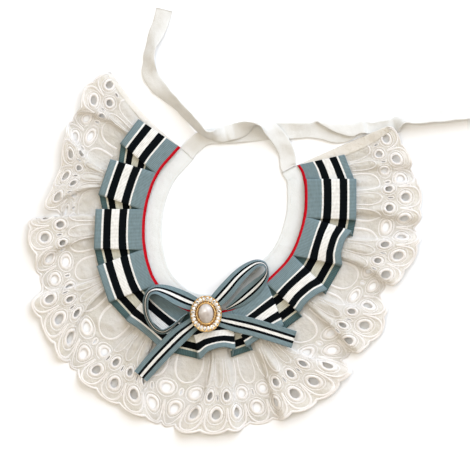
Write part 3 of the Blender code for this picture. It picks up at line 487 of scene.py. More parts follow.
class LaceForm:
    """The lace strip: flat lengths and widths, and where they lie once gathered and folded.

    The heights are of the puffs in each petal and scallop, the gathers at the seam, the fine rays
    that run out of them, the stiffer cloth round the eyelets, and the cloth's general rumple.
    """

    petal_puff: float = 0.9
    scallop_puff: float = 0.5
    gathers: float = 1.1
    rays: float = 1.0
    eyelet_lift: float = 1.1
    rumple: float = 0.45
    rumple_size: float = 13.0

    def __init__(self) -> None:
        """Works out the seam, frill and edge rings from the table of folds."""
        seam, frill, edge = [], [], []
        valley = LACE_FOLDS[0].lead_far
        for k, fold in enumerate(LACE_FOLDS):
            start, end = SEAM.corner[k], SEAM.corner[k + 1]
            lead, trail = self.frill_edges(k)
            forward = unit(trail - lead)
            first, last = k == 0, k == len(LACE_FOLDS) - 1
            crest = LACE_UNDER_END if last else LACE_UNDER_PLEAT
            middle = (fold.lead + fold.trail) / 2
            sunk = LACE_LOW + (fold.rise - LACE_LOW) * fold.dip
            corner = LACE_CORNER_HEIGHT if last else LACE_LOW
            lead_foot = -LACE_PAST_FRILL[0] if first else fold.lead_in - FOOT_OUTSIDE
            trail_foot = -LACE_PAST_FRILL[1] if last else fold.trail_in - FOOT_OUTSIDE
            # Share of the pleat, place and height under the frill, direction, reach and height at the edge
            columns = (
                (0.06, lead + forward * lead_foot, LACE_LOW, fold.lead - fold.lead_foot,
                 valley, LACE_LOW),
                (0.28, lead + forward * fold.lead_in, crest, fold.lead, fold.lead_far, fold.rise),
                (0.50, (lead + trail) / 2, crest, middle, fold.middle_far, sunk),
                (0.72, trail - forward * fold.trail_in, crest, fold.trail, fold.trail_far, fold.rise),
                (0.94, trail - forward * trail_foot, LACE_LOW, fold.trail + fold.trail_foot,
                 fold.valley, corner),
            )
            valley = fold.valley
            for place, under, under_height, degrees, far, height in columns:
                seam.append((*SEAM.point(start + (end - start) * place, self.inner()), LACE_LOW))
                frill.append((*under, under_height))
                edge.append((*(far * towards(degrees)), height))
        seam[0] = (*SEAM.point(0, self.inner()), LACE_LOW)
        seam[-1] = (*SEAM.point(SEAM.length[-1], self.inner()), LACE_LOW)
        self.rings = (np.array(seam), np.array(frill), np.array(edge))
        self.knots = along(self.rings[2])
        fine = np.linspace(0, self.knots[-1], 40 * len(seam) + 1)
        length = along(self.solid(fine, np.full(len(fine), MEASURED_AT)))
        self.repeats = round(length[-1] / REPEAT)
        self.length = self.repeats * REPEAT
        self.flat_knots = (length * self.length / length[-1], fine)

    @staticmethod
    def inner() -> float:
        """How far outside the seam the lace starts."""
        return BAND_UNDER_FRILL + 0.3

    @staticmethod
    def frill_edges(k: int) -> tuple[np.ndarray, np.ndarray]:
        """The two ends of a fold where it leaves the frill.

        Args:
            k: the fold's number.

        Returns:
            The leading and the trailing end, in plan.
        """
        lead, trail = (PLEATS[k].lead, PLEATS[k].trail) if k < len(PLEATS) else LAST_FOLD
        return edge_of(k, lead, LEAVES_FRILL), edge_of(k + 1, trail, LEAVES_FRILL)

    def solid(self, knot: np.ndarray, width: np.ndarray) -> Points:
        """Points of the solid's middle.

        Args:
            knot: the points' places along the folds.
            width: their widths from the seam.

        Returns:
            The points.
        """
        share = (width / LACE_WIDTH)[:, None]
        middle = LACE_FRILL_LINE / LACE_WIDTH
        seam, frill, edge = (through(ring, knot, self.knots) for ring in self.rings)
        weights = (
            (share - middle) * (share - 1) / middle,
            share * (share - 1) / (middle * (middle - 1)),
            share * (share - middle) / (1 - middle),
        )
        points = seam * weights[0] + frill * weights[1] + edge * weights[2]
        points[:, 2] = np.maximum(points[:, 2], 0.5)
        return points

    def edge_width(self, flat: np.ndarray) -> np.ndarray:
        """The lace's scalloped width at flat lengths: one round lobe to each repeat."""
        lobe = np.sin(math.pi * ((flat / REPEAT) % 1.0))
        return LACE_WIDTH + SCALLOP_DEEP * (np.sqrt(np.maximum(lobe, 0)) - 0.6)

    def surface(self, flat: np.ndarray, width: np.ndarray) -> Points:
        """The cloth as it lies, with its puckers and creases.

        Args:
            flat: lengths along the flat strip.
            width: widths from the seam.

        Returns:
            The points of the cloth's middle there.
        """
        points = self.solid(np.interp(flat, *self.flat_knots), width)
        loose = np.clip(width / 30.0 - 0.6, 0, 1)
        points[:, 2] -= LACE_SETTLES
        points[:, 2] += self.puckers(flat, width)
        points[:, 2] += creases_at(points, LACE_CREASES) * loose
        points[:, 2] += self.rumple * soft_noise(points * (1, 1, 0), self.rumple_size, 3.0) * loose
        points[:, 2] = np.maximum(points[:, 2], LACE_HALF)
        return points

    def puckers(self, flat: np.ndarray, width: np.ndarray) -> np.ndarray:
        """How far gathers and stitching make the cloth stand up.

        Args:
            flat: lengths along the flat strip.
            width: widths from the seam.

        Returns:
            One height for each place.
        """
        across = (flat % REPEAT) - REPEAT / 2
        petal = self.petal_puff * bell(across / 4.2) * bell((width - 48.0) / 8.5)
        drop = self.scallop_puff * bell(across / 4.0) * bell((width - 81.5) / 2.2)
        gathers = self.gathers * np.sin(math.pi * flat / 7.0) ** 2 * np.clip(1.1 - width / 36.0, 0, 1)
        places = np.column_stack([flat, width * 0.14, np.full(len(flat), 9.0)])
        fine = soft_noise(places, 6.5, 4.0) + 0.5 * soft_noise(places, 3.4, 8.0)
        rays = self.rays * fine * bell((width - 44.0) / 20.0)
        stiffened = self.eyelet_lift * bell((width - 69.0) / 8.0)
        return petal + drop + gathers + rays + stiffened - 0.1

    def normal(self, flat: np.ndarray, width: np.ndarray) -> np.ndarray:
        """The cloth's upward normal.

        Args:
            flat: lengths along the flat strip.
            width: widths from the seam.

        Returns:
            One unit vector for each place.
        """
        step = 0.3
        by_flat = self.surface(flat + step, width) - self.surface(flat - step, width)
        by_width = self.surface(flat, width + step) - self.surface(flat, width - step)
        made = unit(np.cross(by_flat, by_width))
        return made * np.sign(made[:, 2:3] + 1e-9)


def creases_at(points: Points, creases: Sequence[Crease]) -> np.ndarray:
    """The height that a table of creases adds at points in plan.

    Args:
        points: the points, of which only the place in plan counts.
        creases: the ridges and troughs.

    Returns:
        One height for each point.
    """
    total = np.zeros(len(points))
    for crease in creases:
        start = np.array([crease.x, crease.y])
        run = np.array([crease.to_x, crease.to_y]) - start
        length = np.linalg.norm(run)
        ahead = run / length
        rel = points[:, :2] - start
        share = rel @ ahead / length
        aside = rel @ np.array([-ahead[1], ahead[0]])
        ends = np.clip(share * 4, 0, 1) * np.clip((1 - share) * 4, 0, 1)
        total += crease.height * bell(aside / crease.width) * ends * ends * (3 - 2 * ends)
    return total


# Finishes

class Shader:
    """The nodes of one finish, with short ways to add and join them."""

    def __init__(self, name: str, roughness: float, **uniform: object) -> None:
        """Starts a finish.

        Args:
            name: the material's name.
            roughness: its roughness where no node sets it.
            uniform: other values of the shader's own sockets.
        """
        self.material = bpy.data.materials.new(name)
        self.material.use_nodes = True
        self.tree = self.material.node_tree
        self.tree.nodes.clear()
        self.body = self.tree.nodes.new("ShaderNodeBsdfPrincipled")
        output = self.tree.nodes.new("ShaderNodeOutputMaterial")
        self.tree.links.new(self.body.outputs[0], output.inputs[0])
        self.body.inputs["Roughness"].default_value = roughness
        for socket, value in uniform.items():
            self.body.inputs[socket.replace("_", " ")].default_value = value
        place = self.tree.nodes.new("ShaderNodeTexCoord")
        split = self.tree.nodes.new("ShaderNodeSeparateXYZ")
        self.tree.links.new(place.outputs["UV"], split.inputs[0])
        self.uv = place.outputs["UV"]
        self.object = place.outputs["Object"]
        self.length, self.across = split.outputs[0], split.outputs[1]

    def math(self, operation: str, *values: object) -> bpy.types.NodeSocket:
        """One step of arithmetic.

        Args:
            operation: Blender's name for it.
            values: the sockets or numbers that it works on.

        Returns:
            The result's socket.
        """
        node = self.tree.nodes.new("ShaderNodeMath")
        node.operation = operation
        for socket, value in zip(node.inputs, values):
            self.give(socket, value)
        return node.outputs[0]

    def give(self, socket: bpy.types.NodeSocket, value: object) -> None:
        """Sets a socket to a number or colour, or joins it to another socket.

        Args:
            socket: the socket that is set.
            value: the number, colour or other socket.
        """
        if isinstance(value, bpy.types.NodeSocket):
            self.tree.links.new(value, socket)
        else:
            socket.default_value = value

    def wave(self, place: bpy.types.NodeSocket, pitch: float) -> bpy.types.NodeSocket:
        """A wave from nought to one with the given pitch in metres."""
        turn = self.math("MULTIPLY", place, 2 * math.pi / pitch)
        return self.math("MULTIPLY_ADD", self.math("SINE", turn), 0.5, 0.5)

    def noise(self, size: float, detail: float = 2.0, place: Optional[bpy.types.NodeSocket] = None,
              stretch: Optional[tuple[float, float, float]] = None) -> bpy.types.NodeSocket:
        """Soft lumps.

        Args:
            size: about how large they are, in metres.
            detail: how much finer detail they hold.
            place: where they lie, if not over the object.
            stretch: how much smaller they are along each direction.

        Returns:
            A value from nought to one.
        """
        source = place or self.object
        if stretch:
            mapping = self.tree.nodes.new("ShaderNodeMapping")
            mapping.inputs["Scale"].default_value = stretch
            self.tree.links.new(source, mapping.inputs[0])
            source = mapping.outputs[0]
        node = self.tree.nodes.new("ShaderNodeTexNoise")
        node.inputs["Scale"].default_value = 1.0 / size
        node.inputs["Detail"].default_value = detail
        self.tree.links.new(source, node.inputs["Vector"])
        return node.outputs[0]

    def ramp(self, place: object, stops: Iterable[tuple[float, tuple[float, float, float]]],
             steps: bool = False) -> bpy.types.NodeSocket:
        """Colours along a value from nought to one.

        Args:
            place: the value.
            stops: where each colour stands, and the colour.
            steps: whether they change in steps.

        Returns:
            The colour.
        """
        node = self.tree.nodes.new("ShaderNodeValToRGB")
        node.color_ramp.interpolation = "CONSTANT" if steps else "LINEAR"
        band = node.color_ramp.elements
        for n, (position, colour) in enumerate(stops):
            stop = band[n] if n < 2 else band.new(position)
            stop.position = position
            stop.color = (*colour, 1)
        self.give(node.inputs[0], place)
        return node.outputs[0]

    def shaded(self, colour: bpy.types.NodeSocket, by: bpy.types.NodeSocket,
               low: float, high: float) -> bpy.types.NodeSocket:
        """A colour made darker or lighter.

        Args:
            colour: the colour.
            by: a value from nought to one.
            low: what the colour is multiplied by at nought.
            high: what it is multiplied by at one.

        Returns:
            The new colour.
        """
        factor = self.math("MULTIPLY_ADD", by, high - low, low)
        node = self.tree.nodes.new("ShaderNodeVectorMath")
        node.operation = "SCALE"
        self.tree.links.new(colour, node.inputs[0])
        self.tree.links.new(factor, node.inputs["Scale"])
        return node.outputs[0]

    def mixed(self, share: bpy.types.NodeSocket, first: bpy.types.NodeSocket,
              second: bpy.types.NodeSocket) -> bpy.types.NodeSocket:
        """A colour between two others.

        Args:
            share: how much of the second colour it holds.
            first: the first colour.
            second: the second colour.

        Returns:
            The new colour.
        """
        node = self.tree.nodes.new("ShaderNodeMix")
        node.data_type = "RGBA"
        for place, socket in ((0, share), (6, first), (7, second)):
            self.tree.links.new(socket, node.inputs[place])
        return node.outputs[2]

    def measure(self, name: str) -> bpy.types.NodeSocket:
        """A number that the mesh carries.

        Args:
            name: the mesh's name for it.

        Returns:
            Its value at each point or face.
        """
        node = self.tree.nodes.new("ShaderNodeAttribute")
        node.attribute_name = name
        return node.outputs["Fac"]

    def colour(self, value: object) -> None:
        """Sets the finish's colour."""
        self.give(self.body.inputs["Base Color"], value)

    def roughness(self, by: bpy.types.NodeSocket, low: float, high: float) -> None:
        """Makes the roughness vary between two values."""
        self.give(self.body.inputs["Roughness"], self.math("MULTIPLY_ADD", by, high - low, low))

    def bump(self, layers: Sequence[tuple[bpy.types.NodeSocket, float]], strength: float = 1.0) -> None:
        """Raises the surface.

        Args:
            layers: the height of each layer, from nought to one, and its depth in metres.
            strength: how strongly they show.
        """
        below = None
        for height, depth in layers:
            node = self.tree.nodes.new("ShaderNodeBump")
            node.inputs["Distance"].default_value = depth
            node.inputs["Strength"].default_value = strength
            self.tree.links.new(height, node.inputs["Height"])
            if below:
                self.tree.links.new(below, node.inputs["Normal"])
            below = node.outputs[0]
        self.tree.links.new(below, self.body.inputs["Normal"])


@dataclass(frozen=True)
class PlainWeave:
    """Fine plain-woven cotton, as in the lace's ground."""

    name: str
    light: tuple[float, float, float]
    dark: tuple[float, float, float]
    pitch: float = 0.00042
    mottle: float = 0.018

    def material(self) -> bpy.types.Material:
        """Builds the finish.

        Returns:
            Its material.
        """
        shader = Shader(self.name, 0.85, Sheen_Weight=0.12, Sheen_Roughness=0.5, Subsurface_Weight=0.7,
                        Subsurface_Scale=0.0015, Subsurface_Radius=(1.0, 0.97, 0.93))
        cloud = shader.noise(self.mottle, 3.0)
        colour = shader.ramp(cloud, ((0.3, self.dark), (0.7, self.light)))
        warp, weft = shader.wave(shader.length, self.pitch), shader.wave(shader.across, self.pitch)
        weave = shader.math("MULTIPLY", warp, weft)
        shader.colour(shader.shaded(colour, weave, 0.97, 1.03))
        slub = shader.noise(0.0016, 3.0, shader.uv, (1.0, 0.22, 1.0))
        crinkle = shader.noise(0.0045, 4.0)
        shader.roughness(slub, 0.78, 0.95)
        shader.bump(((weave, 0.00006), (slub, 0.00012), (crinkle, 0.0013)))
        return shader.material


@dataclass(frozen=True)
class SatinThread:
    """Close satin stitches that lie across the line that they cover."""

    name: str
    colour: tuple[float, float, float]
    pitch: float = 0.00036

    def material(self) -> bpy.types.Material:
        """Builds the finish.

        Returns:
            Its material.
        """
        shader = Shader(self.name, 0.5, Sheen_Weight=0.2, Sheen_Roughness=0.4, Specular_IOR_Level=0.3)
        thread = shader.wave(shader.length, self.pitch)
        shift = shader.noise(0.004, 2.0)
        colour = shader.ramp(shift, ((0.3, tuple(0.93 * c for c in self.colour)), (0.7, self.colour)))
        shader.colour(shader.shaded(colour, thread, 0.94, 1.02))
        shader.roughness(thread, 0.42, 0.62)
        shader.bump(((thread, 0.00009),))
        return shader.material


@dataclass(frozen=True)
class Grosgrain:
    """Ribbon with ribs across it and woven stripes along it.

    The stripes are (where it starts over the ribbon's width, its colour), in millimetres.
    """

    name: str
    width: float
    stripes: tuple[tuple[float, "DyeAndTuckShade"], ...]
    rib: float = 0.00096
    sheen: float = 0.008

    def material(self) -> bpy.types.Material:
        """Builds the finish.

        Returns:
            Its material.
        """
        shader = Shader(self.name, 0.6, Sheen_Weight=self.sheen, Sheen_Roughness=0.45,
                        Specular_IOR_Level=0.02)
        place = shader.math("DIVIDE", shader.across, self.width * MM)
        starts = [start / self.width for start, _ in self.stripes]
        # Each stripe has its tone for the open pleats and a darker copy as painted shade for the tucks,
        # mixed by the painted tuck shade that the mesh carries
        pleat, tuck = (
            shader.ramp(place, zip(starts, tones), steps=True)
            for tones in zip(*(dye_and_shade.value for _, dye_and_shade in self.stripes))
        )
        stripes = shader.mixed(shader.measure(PAINTED_TUCK_SHADE), pleat, tuck)
        rib = shader.wave(shader.length, self.rib)
        fibre = shader.noise(0.0016, 3.0, shader.uv, (0.4, 1.0, 1.0))
        patch = shader.noise(0.022, 2.0)
        colour = shader.shaded(stripes, rib, 0.77, 1.15)
        colour = shader.shaded(colour, fibre, 0.74, 1.28)
        shader.colour(shader.shaded(colour, patch, 0.94, 1.06))
        shader.roughness(fibre, 0.5, 0.72)
        edge = shader.math("ABSOLUTE", shader.math("SUBTRACT", place, 0.5))
        selvedge = shader.math("GREATER_THAN", edge, 0.5 - 0.7 / self.width)
        shader.bump(((rib, 0.00014), (fibre, 0.00005), (selvedge, 0.00012)))
        return shader.material


@dataclass(frozen=True)
class CottonTape:
    """Matt cotton bias tape, its fine twill running at a slant."""

    name: str
    light: tuple[float, float, float]
    dark: tuple[float, float, float]
    pitch: float = 0.00055

    def material(self) -> bpy.types.Material:
        """Builds the finish.

        Returns:
            Its material.
        """
        shader = Shader(self.name, 0.88, Sheen_Weight=0.1, Sheen_Roughness=0.6)
        slant = shader.math("MULTIPLY_ADD", shader.across, 0.85, shader.length)
        twill = shader.wave(slant, self.pitch)
        slub = shader.noise(0.002, 3.0, shader.uv, (0.3, 1.0, 1.0))
        cloud = shader.noise(0.012, 3.0)
        colour = shader.ramp(cloud, ((0.3, self.dark), (0.7, self.light)))
        shader.colour(shader.shaded(colour, twill, 0.96, 1.02))
        crumple = shader.noise(0.005, 4.0)
        shader.roughness(slub, 0.8, 0.96)
        shader.bump(((twill, 0.00006), (slub, 0.0001), (crumple, 0.0005)))
        return shader.material


@dataclass(frozen=True)
class Plating:
    """Polished gold-coloured plating over a cast setting, a little worn and uneven."""

    name: str
    bright: tuple[float, float, float]
    deep: tuple[float, float, float]

    def material(self) -> bpy.types.Material:
        """Builds the finish.

        Returns:
            Its material.
        """
        shader = Shader(self.name, 0.2, Metallic=1.0)
        cast = shader.noise(0.0012, 3.0)
        shader.colour(shader.ramp(cast, ((0.3, self.deep), (0.7, self.bright))))
        rub = shader.noise(0.0004, 4.0)
        shader.roughness(rub, 0.14, 0.34)
        shader.bump(((cast, 0.0001), (rub, 0.00002)))
        return shader.material


@dataclass(frozen=True)
class CutStone:
    """Foil-backed crystal whose facets are each painted a random shade, from bright white to smoky, as
    painted glints and reflections.
    """

    name: str

    def material(self) -> bpy.types.Material:
        """Builds the finish.

        Returns:
            Its material.
        """
        shader = Shader(self.name, 0.06, Metallic=0.25, Coat_Weight=1.0, Coat_Roughness=0.03)
        tones = (
            (0.0, (0.16, 0.13, 0.11)), (0.18, (0.45, 0.41, 0.36)), (0.36, (0.78, 0.76, 0.73)),
            (0.6, (0.93, 0.93, 0.92)), (1.0, (1.0, 1.0, 1.0)),
        )
        # Painted glints and reflections: a random number on each face of a stone picks its shade, and fine
        # noise lightens or darkens it further
        colour = shader.ramp(shader.measure(PAINTED_FACET_GLINT), tones)
        glint = shader.noise(0.0005, 2.0)
        shader.colour(shader.shaded(colour, glint, 0.85, 1.1))
        shader.roughness(glint, 0.03, 0.1)
        shader.bump(((glint, 0.000008),))
        return shader.material


@dataclass(frozen=True)
class PearlCoat:
    """The pearl's lustre: a warm white under a clear coat, faintly pink and grey in clouds."""

    name: str

    def material(self) -> bpy.types.Material:
        """Builds the finish.

        Returns:
            Its material.
        """
        shader = Shader(self.name, 0.24, Coat_Weight=1.0, Coat_Roughness=0.09, Sheen_Weight=0.1)
        cloud = shader.noise(0.006, 2.0)
        tones = ((0.3, (0.38, 0.325, 0.29)), (0.5, (0.55, 0.50, 0.47)), (0.7, (0.70, 0.67, 0.65)))
        shader.colour(shader.ramp(cloud, tones))
        skin = shader.noise(0.0009, 3.0)
        shader.roughness(skin, 0.16, 0.3)
        shader.bump(((skin, 0.00001),))
        return shader.material


@dataclass(frozen=True)
class Paper:
    """The plain pale floor."""

    name: str
    tone: tuple[float, float, float]

    def material(self) -> bpy.types.Material:
        """Builds the finish.

        Returns:
            Its material.
        """
        shader = Shader(self.name, 0.95)
        grain = shader.noise(0.003, 2.0)
        tint = shader.ramp(grain, ((0.3, self.tone), (0.7, tuple(0.99 * c for c in self.tone))))
        shader.colour(tint)
        return shader.material


class DyeAndTuckShade(Enum):
    """The ribbons' colours: their tone on the open pleats, and a darker copy of it as painted shade deep
    in the tucks between them.
    """

    # Each second tone is the first darkened as painted shade, for where the ribbon lies low in a tuck
    SLATE = ((0.180, 0.250, 0.275), (0.070, 0.122, 0.128))
    BLACK = ((0.003, 0.0045, 0.006), (0.002, 0.003, 0.004))
    WHITE = ((0.80, 0.80, 0.78), (0.60, 0.59, 0.50))
    RED = ((0.50, 0.006, 0.016), (0.16, 0.004, 0.01))


class Finish(Enum):
    """The finishes of the pieces."""

    # The wide ribbon's stripes are a plain graded set in the photographed ribbon's colours
    WIDE_RIBBON = Grosgrain("slate_ribbon_stripes", RIBBON_WIDTH, (
        (0.0, DyeAndTuckShade.RED), (2.1, DyeAndTuckShade.SLATE), (12.4, DyeAndTuckShade.WHITE), (13.8, DyeAndTuckShade.BLACK), (19.4, DyeAndTuckShade.WHITE),
        (25.2, DyeAndTuckShade.BLACK), (30.8, DyeAndTuckShade.WHITE), (32.2, DyeAndTuckShade.SLATE),
    ))
    BOW_RIBBON = Grosgrain("bow_ribbon_stripes", 12.0, (
        (0.0, DyeAndTuckShade.SLATE), (3.15, DyeAndTuckShade.BLACK), (4.95, DyeAndTuckShade.WHITE), (7.05, DyeAndTuckShade.BLACK), (8.85, DyeAndTuckShade.SLATE),
    ))
    LACE_GROUND = PlainWeave("lace_ground", (0.755, 0.725, 0.685), (0.70, 0.668, 0.60))
    LACE_THREAD = SatinThread("lace_thread", (0.93, 0.905, 0.885))
    TAPE = CottonTape("white_cotton_tape", (0.77, 0.775, 0.762), (0.715, 0.716, 0.694))
    BAND = CottonTape("neckband_cotton", (0.79, 0.82, 0.825), (0.75, 0.78, 0.78))
    TAPE_THREAD = SatinThread("tape_thread", (0.84, 0.83, 0.81), pitch=0.0003)
    GOLD = Plating("gold_plating", (0.93, 0.70, 0.36), (0.70, 0.40, 0.13))
    STONE = CutStone("cut_stone")
    PEARL = PearlCoat("pearl_coat")
    FLOOR = Paper("pale_floor", (0.94, 0.955, 0.98))

    def made(self) -> bpy.types.Material:
        """The finish's material, built the first time that it is asked for."""
        return bpy.data.materials.get(self.value.name) or self.value.material()


# Meshes

def new_piece(name: str, mesh: bpy.types.Mesh, finish: Finish, smooth: bool = True,
              stands_for: Sequence[str] = (), slot: Optional[str] = None) -> bpy.types.Object:
    """Moves a mesh from working millimetres to the part's frame and makes it a piece of it.

    Args:
        name: the piece's name.
        mesh: its mesh, in working millimetres.
        finish: its finish.
        smooth: whether its faces are shaded smooth.
        stands_for: the solids that it stands for.
        slot: the record's material slot; not used.

    Returns:
        The piece, riding on the part's body.
    """
    count = len(mesh.vertices)
    points = np.zeros(count * 3)
    mesh.vertices.foreach_get("co", points)
    points = (points.reshape(-1, 3) - (*MIDDLE, 0.0)) * MM
    mesh.vertices.foreach_set("co", points.ravel())
    mesh.update()
    if smooth:
        mesh.shade_smooth()
    else:
        mesh.shade_flat()
    mesh.materials.append(finish.made())
    piece = bpy.data.objects.new(name, mesh)
    bpy.context.scene.collection.objects.link(piece)
    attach(piece, BODY)
    if stands_for:
        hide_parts(*stands_for)
    mesh.calc_loop_triangles()
    LOG.info("%s: %d triangles", name, len(mesh.loop_triangles))
    return piece


def mesh_of(name: str, points: Points, faces: Sequence[Sequence[int]], uv: np.ndarray) -> bpy.types.Mesh:
    """A mesh with a place on the cloth for each of its points.

    Args:
        name: the mesh's name.
        points: its points in working millimetres.
        faces: the point numbers of each face.
        uv: each point's length along the cloth and width across it, in millimetres.

    Returns:
        The mesh, its map in metres.
    """
    mesh = bpy.data.meshes.new(name)
    mesh.from_pydata([tuple(p) for p in points], [], [tuple(int(i) for i in f) for f in faces])
    layer = mesh.uv_layers.new(name="cloth")
    corner = np.zeros(len(mesh.loops), np.int32)
    mesh.loops.foreach_get("vertex_index", corner)
    layer.data.foreach_set("uv", (np.asarray(uv, float)[corner] * MM).astype(np.float32).ravel())
    return mesh


def walled(name: str, mesh: bpy.types.Mesh, thick: float) -> bpy.types.Mesh:
    """A sheet given a thin wall, half on each side.

    Args:
        name: the sheet's name.
        mesh: the sheet.
        thick: the wall's thickness.

    Returns:
        The walled mesh.
    """
    guide = bpy.data.objects.new(name, mesh)
    bpy.context.scene.collection.objects.link(guide)
    wall = guide.modifiers.new("Wall", "SOLIDIFY")
    wall.thickness = thick
    wall.offset = 0
    bpy.context.view_layer.update()
    graph = bpy.context.evaluated_depsgraph_get()
    shaped = guide.evaluated_get(graph)
    made = bpy.data.meshes.new_from_object(shaped, preserve_all_data_layers=True, depsgraph=graph)
    bpy.data.objects.remove(guide)
    return made


def grid_faces(columns: int, rows: int, ring: bool = False) -> np.ndarray:
    """Quads over a grid of points that are listed column by column.

    Args:
        columns: how many columns there are.
        rows: how many points each has.
        ring: whether its last row joins its first.

    Returns:
        The four point numbers of each face.
    """
    i, j = np.meshgrid(np.arange(columns - 1), np.arange(rows if ring else rows - 1), indexing="ij")
    a, b = i * rows + j, i * rows + (j + 1) % rows
    return np.stack([a, a + rows, b + rows, b], axis=-1).reshape(-1, 4)


def wrapped(line: Points, half: float, steps: int = 4) -> Points:
    """A closed loop round a section's line, with rounded ends.

    Args:
        line: the section's points, in the plane of the section.
        half: half of the wall's thickness.
        steps: how many parts each rounded end has.

    Returns:
        The loop's points, starting at the line's first end.
    """
    ahead = unit(np.gradient(line, axis=0))
    side = np.column_stack([-ahead[:, 1], ahead[:, 0]])
    turns = np.linspace(0, math.pi, steps + 1)[1:-1, None]
    far = line[-1] + half * (np.cos(turns) * side[-1] + np.sin(turns) * ahead[-1])
    near = line[0] - half * (np.cos(turns) * side[0] + np.sin(turns) * ahead[0])
    return np.concatenate([line + side * half, far, (line - side * half)[::-1], near])


def lofted(name: str, rings: np.ndarray, lengths: np.ndarray, across: np.ndarray) -> bpy.types.Mesh:
    """A closed skin over rings of points, with a flat end at each side.

    Args:
        name: the mesh's name.
        rings: the rings, each with the same number of points.
        lengths: how far along the piece each ring is.
        across: how far across the cloth each point of a ring is.

    Returns:
        The mesh, its faces pointing outwards.
    """
    count, around = rings.shape[:2]
    faces = [tuple(f) for f in grid_faces(count, around, ring=True)]
    ends = (tuple(range(around))[::-1], tuple(range((count - 1) * around, count * around)))
    u = np.repeat(lengths, around)
    v = np.broadcast_to(across, (count, around)).ravel()
    mesh = mesh_of(name, rings.reshape(-1, 3), faces + list(ends), np.column_stack([u, v]))
    points = rings.reshape(-1, 3)
    a, b, c, d = (points[np.array(faces)[:, k]] for k in range(4))
    volume = (np.cross(b - a, c - a) * a).sum() + (np.cross(c - a, d - a) * a).sum()
    if volume < 0:
        mesh.flip_normals()
    return mesh


@dataclass
class ThreadWork:
    """Raised lines of stitching that gather into one mesh."""

    points: list[np.ndarray] = field(default_factory=list)
    faces: list[np.ndarray] = field(default_factory=list)
    uv: list[np.ndarray] = field(default_factory=list)
    count: int = 0

    def add(self, rings: np.ndarray, lengths: np.ndarray, across: np.ndarray, closed: bool) -> None:
        """Adds one line.

        Args:
            rings: the points over the line's width at each place along it.
            lengths: how far along the line each place is.
            across: how far across the line each point is.
            closed: whether the line's last place joins its first.
        """
        count, wide = rings.shape[:2]
        made = grid_faces(count + closed, wide)
        made = np.where(made >= count * wide, made - count * wide, made)
        self.faces.append(made + self.count)
        self.points.append(rings.reshape(-1, 3))
        self.uv.append(np.column_stack([np.repeat(lengths, wide), np.tile(across, count)]))
        self.count += count * wide

    def mesh(self, name: str) -> bpy.types.Mesh:
        """The lines as one mesh."""
        return mesh_of(name, *(np.concatenate(part) for part in (self.points, self.faces, self.uv)))


# The pieces

@dataclass
class Neckband:
    """The band of folded bias tape round the neck, with its line of stitching."""

    half: float = 0.7
    stations: int = 240
    places: int = 15
    stitch_in: float = 9.8
    height: float = 0.85

    def build(self) -> None:
        """Makes the band and its stitches."""
        lengths = np.linspace(0, SEAM.length[-1], self.stations)
        across = np.linspace(-BAND_SHOWS, BAND_UNDER_FRILL, self.places)
        puff = 0.22 * bell((across + 6.0) / 3.6) - 0.15 * bell((across + self.stitch_in) / 0.5)
        loop = wrapped(np.column_stack([across, np.full(self.places, self.height)]), self.half)
        lift = np.concatenate([puff, [0, 0, 0], 0 * puff, [0, 0, 0]])
        rings = []
        for length in lengths:
            start, edge = SEAM.point(length), SEAM.point(length, 1.0)
            plan = start + (edge - start) * loop[:, :1]
            rings.append(np.column_stack([plan, loop[:, 1] + lift]))
        rings = np.array(rings)
        top = rings[:, :self.places]
        ripple = 0.16 * soft_noise(top.reshape(-1, 3) * (1, 1, 0), 9.0, 11.0)
        rings[:, :self.places, 2] += ripple.reshape(top.shape[:2])
        mesh = lofted("band_cotton", rings, lengths, loop[:, 0] + BAND_SHOWS)
        band = new_piece("band_cotton", mesh, Finish.BAND, stands_for=["neckband"], slot="white_cotton")
        line = [(*SEAM.point(length, -self.stitch_in), self.height + self.half) for length in lengths]
        stitches = stitch_row("band_stitches", np.array(line))


def stitch_row(name: str, line: Points, pitch: float = 3.0, long: float = 2.2,
               half: float = 0.17) -> bpy.types.Object:
    """A row of running stitches that lie on the cloth.

    Args:
        name: the piece's name.
        line: points along the row, on the cloth.
        pitch: the distance from one stitch to the next.
        long: the length of each stitch.
        half: half of the thread's thickness.

    Returns:
        The stitches, as one piece.
    """
    length = along(line)
    work = ThreadWork()
    profile = np.array([(-0.5, 0.0), (-0.42, 0.75), (-0.2, 1.0), (0.2, 1.0), (0.42, 0.75), (0.5, 0.0)])
    upright = np.array((0, 0, 1.0))
    around = np.linspace(0, math.pi, 5)
    for start in np.arange(pitch / 2, length[-1] - pitch / 2, pitch):
        at = start + profile[:, 0] * long
        centre = np.column_stack([np.interp(at, length, line[:, k]) for k in range(3)])
        ahead = unit(centre[-1] - centre[0])
        side = unit(np.cross(upright, ahead))
        size = half * np.maximum(profile[:, 1], 0.05)
        arch = np.cos(around)[:, None] * side + np.sin(around)[:, None] * upright
        rings = centre[:, None] + size[:, None, None] * arch
        work.add(rings, at - start, around * half, closed=False)
    return new_piece(name, work.mesh(name), Finish.TAPE_THREAD, slot="white_cotton")


